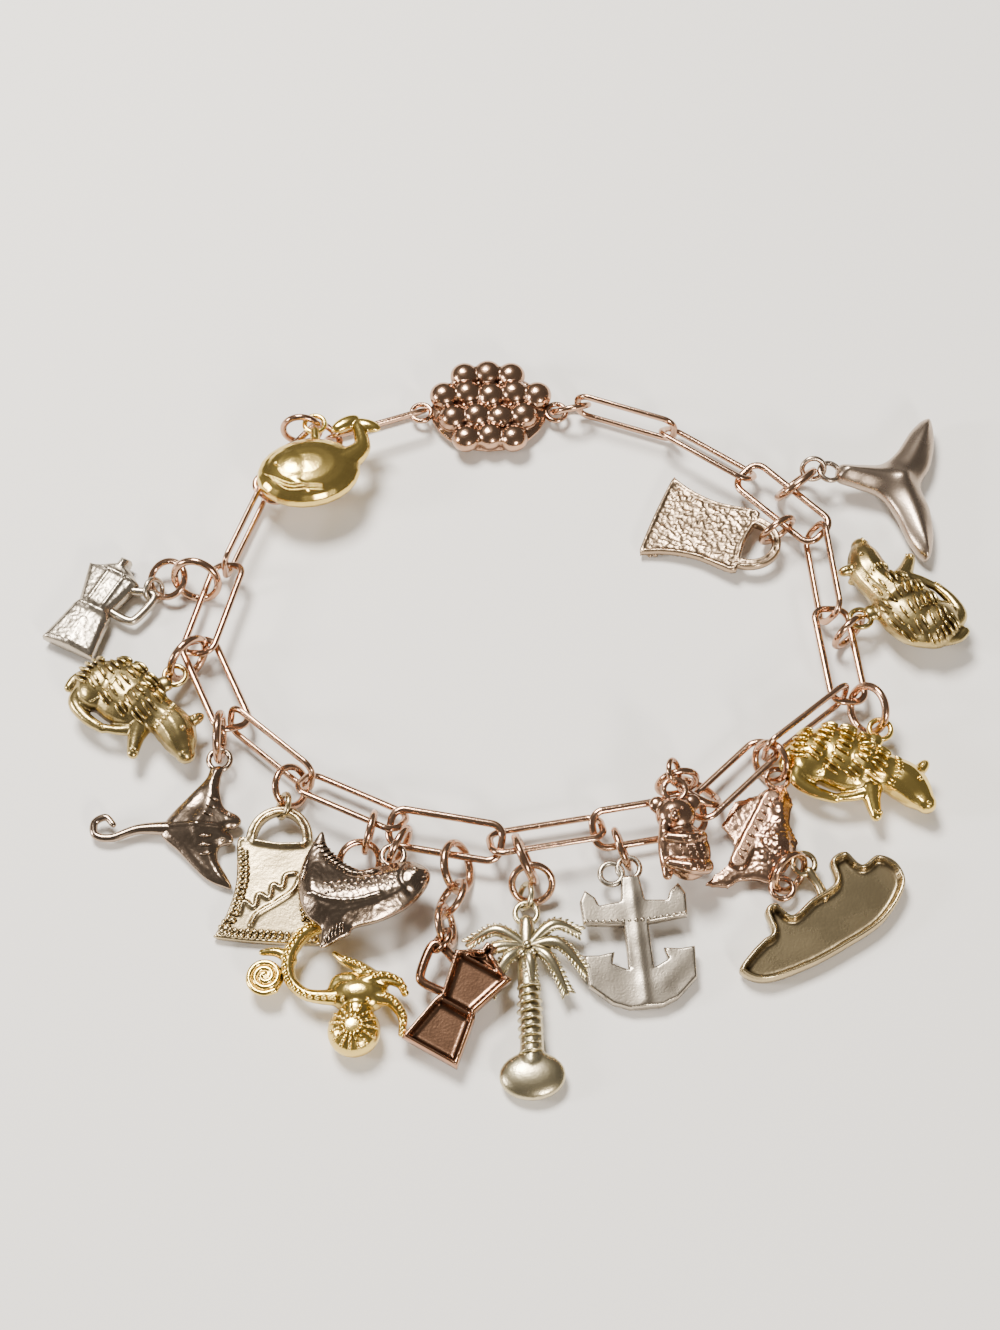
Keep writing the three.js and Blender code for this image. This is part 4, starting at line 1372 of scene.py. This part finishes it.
@dataclass
class Palm(Charm):
    """A palm: drooping fronds cut in leaflets, a ringed trunk and a mound."""

    leaf: Point3 = (0.95, 0.3, 0.3)
    leaf_pitch: float = 0.42
    rib: Point3 = (2.35, 0.5, 2.3)
    rib_pitch: float = 0.78
    nut: Point3 = (0.8, 0.8, 0.7)

    def body(self) -> list[Shape]:
        """Fronds, trunk and mound."""
        crown = (0.0, -3.5, 0.2)
        tips = [((-3.2, -3.6, 0.5), (-5.7, -6.9, -0.1)), ((-2.0, -4.8, 0.7), (-3.6, -8.0, 0.2)),
                ((-2.8, -1.7, 0.4), (-5.6, -2.9, 0)), ((2.9, -3.3, 0.5), (5.5, -6.3, -0.1)),
                ((1.9, -4.7, 0.7), (3.5, -8.1, 0.2)), ((2.5, -1.4, 0.4), (4.9, -2.2, 0)),
                ((0.2, -5.0, 0.9), (0.4, -7.6, 0.6))]
        stems, leaves, ways = [], [], []
        for bend, tip in tips:
            stems.append(tube([crown, bend, tip], (0.5, 0.62, 0.22), around=10))
            line = smooth_path([crown, bend, tip], self.leaf_pitch)[2:]
            along = ways_along(line)
            for side in (-1, 1):
                aside = np.cross(along, (0, 0, side))
                leaves.append(line + 0.4 * aside + (0, 0, 0.12))
                ways.append(along + 0.75 * aside)
        fronds = self._set_upright(np.vstack(leaves), np.vstack(ways), self.leaf)
        stalk = tube([(0, -0.9, 0), (-0.1, -6.0, 0.1), (0.1, -10.0, 0.1), (0, -14.6, 0)],
                     (0.75, 0.95, 1.0, 1.2))
        mound = [ball((3.05, 2.3, 1.1), (0, -15.7, 0)), ball((2.6, 1.3, 0.9), (0, -16.5, 0))]
        trunk = fused([stalk, *mound], 0.14)
        rings = np.array([(0, y, 0.15) for y in np.arange(-7.4, -14.0, -self.rib_pitch)])
        ribs = self._set_upright(rings, (1.0, 0.12, 0), self.rib)
        bunch = np.array([(-0.5, -4.3, 1.0), (0.5, -4.2, 1.0), (0, -3.5, 1.1)])
        nuts = self._set_upright(bunch, (1.0, 0, 0), self.nut)
        return [*stems, fronds, trunk, ribs, nuts]

    def _set_upright(self, places: np.ndarray, ways: Sequence, size: Point3) -> Shape:
        """Sets grains that all stand up along Z.

        Args:
            places: where they stand.
            ways: the direction of each grain's length, or one direction for all.
            size: length, width and height of a grain.

        Returns:
            The grains.
        """
        each = np.broadcast_to(np.asarray(ways, float), places.shape)
        return self.workshop.grains.set(places, each, np.broadcast_to((0.0, 0.0, 1.0), places.shape), size)


@dataclass
class MokaPot(Charm):
    """A stove-top pot: a granular faceted front, a dished back, a lid with a knob and a bent handle."""

    grip: float = 0.45
    rim: float = 0.95
    slope: float = 1.9
    spacing: float = 0.15

    def body(self) -> list[Shape]:
        """The pot and its handle."""
        pot = ((-6.8, 0.5), (-6.0, 0.9), (-5.5, 1.25), (-4.9, 1.55), (-4.9, 2.4), (-3.7, 2.4), (-3.7, 1.55),
               (-3.1, 1.25), (-2.5, 0.85), (-1.6, 0.3), (-2.0, -1.6), (-2.5, -3.9), (-2.2, -4.6),
               (-1.4, -9.2), (-7.2, -9.2), (-6.4, -4.6), (-6.1, -3.9), (-7.1, -0.8), (-7.5, 0.4))
        outline = straight_path(pot, 0.2)
        waist = np.array([(-6.6, -4.3), (-2.0, -4.3)])
        brim = np.array([(-7.2, 0.3), (-1.7, 0.25)])
        folds = [np.array(fold) for fold in (((-5.0, 0.2), (-5.1, -3.9)), ((-3.2, 0.2), (-3.4, -3.9)))]

        def face(p: np.ndarray, d: np.ndarray) -> np.ndarray:
            """A faceted granular front with its waist and brim raised."""
            facets = 1.05 - 0.34 * np.abs(p[:, 0] + 4.3) / 2.4
            creases = 0.16 * sum(ridge(p, fold, 0.3) for fold in folds)
            bands = 0.3 * ridge(p, waist, 0.8) + 0.22 * ridge(p, brim, 0.4)
            foot = 0.25
            return foot + (facets + creases + bands - foot + 0.035 * speckle(p, 6.0)) * swell(d, 0.5)

        def back(p: np.ndarray, d: np.ndarray) -> np.ndarray:
            """Two dishes within a rim, with walls at the waist and the brim."""
            wall = 0.7 * ridge(p, waist, 0.7) + 0.55 * ridge(p, brim, 0.45)
            dish = 0.42 - 0.62 * np.sin(0.5 * math.pi * rise(d, self.slope))
            return -np.maximum(self.rim * rail(d, 0.26, 0.25), np.maximum(wall, dish))

        bent = ((-2.0, -0.5, 0), (-0.1, 0.1, 0), (0.55, -0.5, 0), (0.1, -3.2, 0), (-0.7, -3.75, 0),
                (-2.6, -3.6, 0))
        handle = tube(bent, [self.grip] * len(bent), step=0.2)
        return [Relief(outline, face, back, spacing=self.spacing).shape(), handle]


@dataclass
class Octopus(Charm):
    """An octopus: a fluted round mantle and curled arms with suckers, and one arm wound to a flat coil."""

    sucker: Point3 = (0.62, 0.62, 0.56)
    sucker_pitch: float = 0.6
    flute: Point3 = (0.85, 0.36, 0.42)
    flutes: int = 15
    eye: Point3 = (0.6, 0.6, 0.5)
    mantle: Point = (2.6, -11.1)
    coil: Point = (-5.8, -6.0)
    coil_turns: float = 2.6
    coil_start: float = 1.6

    def body(self) -> list[Shape]:
        """Mantle, arms, coil and suckers."""
        arms = [
            ([(0, -0.9, 0), (-1.4, -1.1, 0.1), (-2.6, -1.9, 0.2), (-3.7, -4.0, 0.3), (-3.5, -6.2, 0.3),
              (-1.9, -7.7, 0.3), (0.8, -8.0, 0.3)], (0.5, 0.7, 0.72, 0.7, 0.62, 0.6, 0.8)),
            ([(0.5, -3.7, 0.2), (1.5, -4.5, 0.3), (2.9, -5.1, 0.3), (4.3, -6.3, 0.3)],
             (0.28, 0.45, 0.6, 0.9)),
            ([(3.2, -6.8, 0.4), (5.0, -6.2, 0.6), (6.6, -6.6, 0.3), (7.1, -7.6, 0.1)], (0.9, 0.7, 0.5, 0.3)),
            ([(4.4, -8.0, 0.3), (5.9, -8.4, 0.5), (7.0, -9.8, 0.2), (6.9, -11.4, 0)], (0.9, 0.62, 0.5, 0.3)),
            ([(-3.5, -4.4, 0.2), (-4.8, -3.6, 0.3), (-6.3, -3.6, 0.2)], (0.6, 0.5, 0.32)),
            ([(0.4, -7.6, 0.2), (0.9, -6.4, 0.3), (2.2, -6.4, 0.3)], (0.5, 0.6, 0.9)),
        ]
        flesh = fused([
            ball((2.45, 2.45, 1.85), (*self.mantle, 0)), ball((2.8, 1.85, 1.5), (2.9, -7.6, 0)),
            ball((1.5, 1.6, 1.5), (2.8, -9.3, 0)),
            *(tube(points, radii) for points, radii in arms),
        ])
        turns = np.linspace(0, 2 * math.pi * self.coil_turns, 26)
        reach = 0.25 + 0.088 * turns
        way = turns + self.coil_start
        curl = np.column_stack([reach * np.cos(way), reach * np.sin(way), np.zeros(len(way))])
        coil = tube(curl + (*self.coil, 0.4), [0.3] * len(curl), step=0.16, around=10)
        disc = ball((1.7, 1.7, 0.55), (*self.coil, 0.0))
        asides = (-0.22, 0.1, 0.1, 0.1)
        lines = [[point[:2] for point in points] for points, _ in arms[:len(asides)]]
        rows = [smooth_path(line, self.sucker_pitch)[2:] for line in lines]
        spots = np.vstack([offset_row(row, aside) for row, aside in zip(rows, asides)])
        suckers = self.grains(flesh, spots, np.vstack([ways_along(row) for row in rows]), self.sucker)
        spokes = np.radians(np.arange(self.flutes) * 360 / self.flutes)
        ways = np.column_stack([np.cos(spokes), np.sin(spokes)])
        radii = (1.0, 1.5, 1.95)
        fluted = np.vstack([np.array(self.mantle) + r * way for way in ways for r in radii])
        folds = self.grains(flesh, fluted, np.repeat(ways, len(radii), axis=0), self.flute)
        eyes = self.grains(flesh, [(1.6, -8.4), (3.9, -8.5)], (1, 0), self.eye)
        return [flesh, disc, coil, suckers, folds, eyes]


@dataclass
class Fish(Charm):
    """A leaping fish: a deep curved body with a ridged back, a ribbed tail fin and a lateral line."""

    scale: Point3 = (0.5, 0.34, 0.2)
    rib: Point3 = (1.2, 0.24, 0.42)
    tail_ray: Point3 = (1.3, 0.2, 0.24)
    fin_ray: Point3 = (1.1, 0.2, 0.26)
    eye: Point3 = (0.62, 0.62, 0.5)
    lip: Point3 = (0.8, 0.22, 0.3)
    girth: float = 1.05
    spacing: float = 0.17

    def body(self) -> list[Shape]:
        """Body, fins, scales, ribs and eye."""
        edge = ((-9.2, -3.4), (-9.15, -1.6), (-8.7, 0.0), (-7.7, 1.8), (-6.3, 3.5), (-6.0, 2.0), (-5.3, 0.7),
                (-4.4, -0.3), (-3.2, -1.0), (-1.2, -0.9), (1.0, -0.8), (2.4, -1.4), (3.1, -2.2), (3.0, -3.1),
                (2.0, -4.4), (0.2, -5.6), (-2.2, -6.4), (-4.6, -6.7), (-5.0, -7.2), (-6.1, -7.6),
                (-7.8, -8.2), (-7.7, -7.2), (-7.6, -6.2), (-8.6, -5.0))
        outline = smooth_path(edge, 0.2, closed=True)
        spine = smooth_path([(-8.3, -2.6), (-6.0, -3.6), (-2.6, -3.9), (0.6, -3.3), (2.2, -2.5)], 0.3)
        line = smooth_path([(-8.4, -3.0), (-6.6, -4.0), (-4.2, -4.5), (-1.7, -4.2)], 0.3)
        gill = smooth_path([(0.9, -1.5), (0.3, -3.0), (0.9, -4.3)], 0.2)

        def face(p: np.ndarray, d: np.ndarray) -> np.ndarray:
            """A body that is deepest along its spine, with a lateral line, a gill and a rough hide."""
            marks = 0.16 * ridge(p, line, 0.34) - 0.14 * ridge(p, gill, 0.34)
            hide = 0.03 * speckle(p, 5.0) + 0.02 * speckle(p, 8.0, 2.0)
            flank = 0.3 + self.girth * ridge(p, spine, 5.0)
            return 0.14 + flank * swell(d, 1.3) + (marks + hide) * rise(d, 0.4)

        fish = Relief(outline, face, under(rounded(1.0, 0.12, 1.6)), spacing=self.spacing).shape()
        comb = smooth_path([(-6.7, 2.2), (-6.0, 0.9), (-4.9, -0.4), (-3.6, -1.5), (-2.2, -1.7)], 0.46)
        ribs = self.grains(fish, comb, (1.0, 0.25), self.rib)
        rays = smooth_path([(-8.0, 0.4), (-8.5, -1.0)], 0.36)
        combed = self.grains(fish, rays, (0.5, 1.0), self.tail_ray)
        spots = [(-6.6 + 0.62 * i + 0.3 * (j % 2), -2.4 - 0.5 * j) for i in range(11) for j in range(3)]
        scales = self.grains(fish, spots, (1, 0), self.scale)
        lower = smooth_path([(-7.4, -7.6), (-6.6, -7.0), (-5.6, -6.7)], 0.4)
        fin = self.grains(fish, lower, (0.2, 1.0), self.fin_ray)
        eye = self.grains(fish, [(1.75, -2.3)], (1, 0), self.eye)
        lips = self.grains(fish, [(2.6, -2.9), (2.4, -3.4)], (1, 0.2), self.lip)
        return [fish, ribs, combed, scales, fin, eye, lips]


@dataclass
class Manta(Charm):
    """A manta ray: swept creased wings, two head lobes, gill strokes and a tail curled into a loop."""

    stroke: Point3 = (1.15, 0.3, 0.34)
    eye: Point3 = (0.45, 0.45, 0.4)
    trunk: float = 0.75
    spacing: float = 0.17

    def body(self) -> list[Shape]:
        """Wings, tail and gill strokes."""
        edge = ((0.5, -0.8), (0.45, -2.0), (0.6, -3.4), (1.3, -4.9), (2.7, -5.6), (3.1, -6.2), (2.7, -6.8),
                (1.8, -7.2), (2.5, -7.7), (2.6, -8.4), (1.5, -8.9), (1.5, -10.2), (3.2, -12.7), (2.4, -12.9),
                (0.4, -12.1), (-2.4, -9.8), (-4.3, -8.3), (-4.0, -6.6), (-2.4, -4.2), (-1.0, -2.2),
                (-0.6, -0.9))
        outline = smooth_path(edge, 0.2, closed=True)
        spine = np.array([(-4.4, -7.5), (1.6, -7.0)])
        crest = smooth_path([(-0.2, -2.2), (-0.3, -5.0), (-0.9, -7.2), (0.4, -9.6), (2.4, -12.2)], 0.4)

        def face(p: np.ndarray, d: np.ndarray) -> np.ndarray:
            """A trunk that swells out of the wings, creased along its spine and crested from wing to wing."""
            folds = 0.16 * ridge(p, spine, 0.36) + 0.2 * ridge(p, crest, 1.2)
            trunk = self.trunk * hill(p, (-0.8, -7.2), (2.6, 1.7))
            return 0.18 + (0.36 + trunk + folds + 0.02 * speckle(p, 7.0)) * swell(d, 0.7)

        ray = Relief(outline, face, under(rounded(0.6, 0.1, 0.8)), spacing=self.spacing).shape()
        tail = tube([(-3.4, -7.5, 0.1), (-6.6, -7.9, 0.1), (-9.0, -9.0, 0.1), (-10.6, -8.9, 0.1),
                     (-10.9, -7.7, 0.2), (-9.9, -7.1, 0.4), (-9.0, -7.8, 0.5)],
                    (0.75, 0.5, 0.42, 0.4, 0.38, 0.36, 0.3), step=0.2)
        gills = [(0.15 - 0.1 * k, -4.3 - 0.85 * k) for k in range(3)]
        gills += [(0.3 - 0.1 * k, -9.9 + 0.85 * k) for k in range(3)]
        strokes = self.grains(ray, gills, [(1, -0.12)] * 3 + [(1, 0.2)] * 3, self.stroke)
        eyes = self.grains(ray, [(1.9, -5.7), (1.7, -8.4)], (1, 0), self.eye)
        return [ray, tail, strokes, eyes]


@dataclass
class Whale(Charm):
    """A plump little whale with its tail curled up over its back."""

    rib: Point3 = (0.5, 0.18, 0.16)
    eye: Point3 = (0.5, 0.45, 0.4)

    def body(self) -> list[Shape]:
        """Body, tail, fin, belly grooves and eye."""
        whole = fused([
            ball((5.4, 4.1, 2.05), (-0.7, -6.2, 0), 8), ball((3.6, 3.4, 2.0), (-2.0, -6.4, 0.1)),
            tube([(2.4, -5.4, 0), (4.8, -3.4, 0.1), (4.5, -0.6, 0.1)], (1.6, 1.0, 0.6)),
            ball((1.7, 0.8, 0.6), (3.2, -0.2, 0.1), 30), ball((1.6, 0.75, 0.6), (5.4, -0.5, 0.1), -20),
            ball((1.7, 0.75, 0.8), (-1.8, -8.3, 1.1), -35), tube([(0, -0.9, 0), (0, -3.2, 0)], (0.5, 0.6)),
        ])
        ribs = []
        for k in range(3):
            groove = [(-5.0 + 0.5 * k, -7.0 - 0.5 * k), (-2.6, -8.5 - 0.3 * k), (0.6, -8.7 - 0.22 * k)]
            row = smooth_path(groove, 0.3)
            ribs.append(self.grains(whole, row, ways_along(row), self.rib))
        eye = self.grains(whole, [(-3.9, -6.1)], (1, 0), self.eye)
        return [whole, *ribs, eye]


@dataclass
class Clasp(Charm):
    """The closed clasp: a plate with an eye at each end, its face covered with fused grains."""

    looped: bool = False
    pitch: float = 2.5
    stagger: float = 0.3
    grain: Point3 = (1.55, 1.55, 1.3)
    bead: Point3 = (0.75, 0.75, 0.75)

    def body(self) -> list[Shape]:
        """Plate, grains and eyes."""
        rows = ((4.1, -2.6, 3), (1.6, -4.8, 5), (-1.2, -3.8, 4), (-3.8, -2.4, 3))
        grains, beads = [], []
        for y, left, count in rows:
            xs = [left + self.pitch * i for i in range(count)]
            grains += [ball(self.grain, (x, y + self.stagger * (i % 2), 0.85)) for i, x in enumerate(xs)]
            beads += [(x + self.pitch / 2, y + 1.35) for x in xs[:-1]]
        pan = ball((6.3, 5.1, 1.0), (0, 0.2, -0.1))
        cluster = fused([pan, *grains], 0.15, 3)
        small = self.grains(cluster, beads, (1, 0), self.bead)
        eyes = [self.workshop.wires.eye(side * EYES / 2) for side in (-1, 1)]
        return [cluster, small, *eyes]


# ---------------------------------------------------------------- light, floor and camera


@dataclass
class Studio:
    """A pale floor, soft lights and the camera.

    Attributes:
        look: the point that the camera looks at, in millimetres from the frame's middle.
        distance: how far the camera stands from it, in millimetres.
        elevation: the camera's height in degrees.
        tall: the view's vertical angle in degrees.
        floor: the floor's side, in metres.
        paper: the floor's colour.
        dusk: the room's colour.
        dimness: the room's brightness.
    """

    look: Point3 = (-0.1, 4.55, 0.0)
    distance: float = 218.8
    elevation: float = 60.0
    tall: float = 34.0
    floor: float = 0.9
    paper: Point3 = (0.76, 0.74, 0.71)
    dusk: Point3 = (0.72, 0.68, 0.64)
    dimness: float = 0.22

    # Each lamp's name, its place and size in metres, its power in watts and its colour.
    LAMPS: ClassVar[tuple] = (
        ("key_light", (-0.12, 0.2, 0.42), 0.16, 6.0, (1.0, 0.96, 0.9)),
        ("front_light", (0.16, -0.34, 0.2), 0.08, 1.6, (1.0, 0.92, 0.82)),
        ("side_light", (-0.38, -0.06, 0.16), 0.08, 1.3, (1.0, 0.95, 0.9)),
    )

    def build(self) -> None:
        """Sets up the studio."""
        self._floor()
        self._lights()
        self._camera()

    def _floor(self) -> None:
        """Lays the floor."""
        half = self.floor / 2
        mesh = bpy.data.meshes.new("studio_floor")
        corners = [(-half, -half, 0), (half, -half, 0), (half, half, 0), (-half, half, 0)]
        mesh.from_pydata(corners, [], [(0, 1, 2, 3)])
        plane = bpy.data.objects.new("studio_floor", mesh)
        bpy.context.scene.collection.objects.link(plane)
        material = bpy.data.materials.new("studio_paper")
        material.use_nodes = True
        tree = material.node_tree
        fill(tree, tree.nodes["Principled BSDF"], {"Base Color": (*self.paper, 1), "Roughness": 0.75})
        mesh.materials.append(material)

    def _lights(self) -> None:
        """Hangs three soft lights in a dim room."""
        world = bpy.data.worlds.new("studio_room")
        world.use_nodes = True
        tree = world.node_tree
        fill(tree, tree.nodes["Background"], {"Color": (*self.dusk, 1), "Strength": self.dimness})
        bpy.context.scene.world = world
        for name, place, size, power, colour in self.LAMPS:
            lamp = bpy.data.lights.new(name, "AREA")
            lamp.size, lamp.energy, lamp.color = size, power, colour
            holder = bpy.data.objects.new(name, lamp)
            holder.location = place
            holder.rotation_euler = Vector(place).to_track_quat("Z", "Y").to_euler()
            bpy.context.scene.collection.objects.link(holder)

    def _camera(self) -> None:
        """Stands the camera up."""
        tilt = math.radians(self.elevation)
        camera = bpy.data.cameras.new("camera")
        camera.lens = camera.sensor_width / 2 / math.tan(math.radians(self.tall / 2))
        camera.clip_start, camera.clip_end = 0.01, 5.0
        stand = bpy.data.objects.new("camera", camera)
        stand.location = (Vector(self.look) + self.distance * Vector((0, -math.cos(tilt),
                                                                      math.sin(tilt)))) * MM
        stand.rotation_euler = (math.pi / 2 - tilt, 0, 0)
        bpy.context.scene.collection.objects.link(stand)
        bpy.context.scene.camera = stand


# ---------------------------------------------------------------- the bracelet


def charms_of(shop: Workshop) -> list[Charm]:
    """Lists the charms with their places.

    Args:
        shop: the workshop that makes them.

    Returns:
        The charms, round the chain.
    """
    return [
        WhaleTail(shop, "whale_tail", Place(85, 10), SATIN, -55),
        ToteBag(shop, "tote_bag_back", Place(-115, 5, True), BRONZE, looped=False),
        Quokka(shop, "quokka_upper", Place(130), OLD_GOLD),
        Quokka(shop, "quokka_lower", Place(-20), GOLD),
        Landmass(shop, "landmass", Place(5, 5), ROSE),
        Ship(shop, "ship", Place(30, 5), BRASS),
        Koala(shop, "koala", Place(0, 10), ROSE, 60),
        Anchor(shop, "anchor", Place(5, 5), SILVER),
        Palm(shop, "palm", Place(0, -10), PALE, -60),
        MokaPot(shop, "moka_pot_rose", Place(-30, 0, True), COPPER, -60, POT_BAR, looped=False),
        Fish(shop, "fish", Place(5, -5), PEWTER),
        Octopus(shop, "octopus", Place(0, -5), GOLD, 60),
        ToteBag(shop, "tote_bag_front", Place(-5, 5), BRASS, -60, BAG_BAR, looped=False),
        Manta(shop, "manta", Place(-5, 5), PEWTER),
        Quokka(shop, "quokka_left", Place(-35), OLD_GOLD),
        MokaPot(shop, "moka_pot_silver", Place(-25), SILVER, 60, POT_BAR, looped=False),
        Whale(shop, "whale", Place(0, -5), GOLD),
        Clasp(shop, "clasp", Place(0), ROSE),
    ]


def main() -> None:
    """Builds the studio, the chain and the charms."""
    logging.basicConfig(level=logging.INFO, format="%(name)s %(message)s")
    Studio().build()
    shop = Workshop()
    Chain(shop).build()
    for charm in charms_of(shop):
        charm.build()


if __name__ == "__main__":
    main()
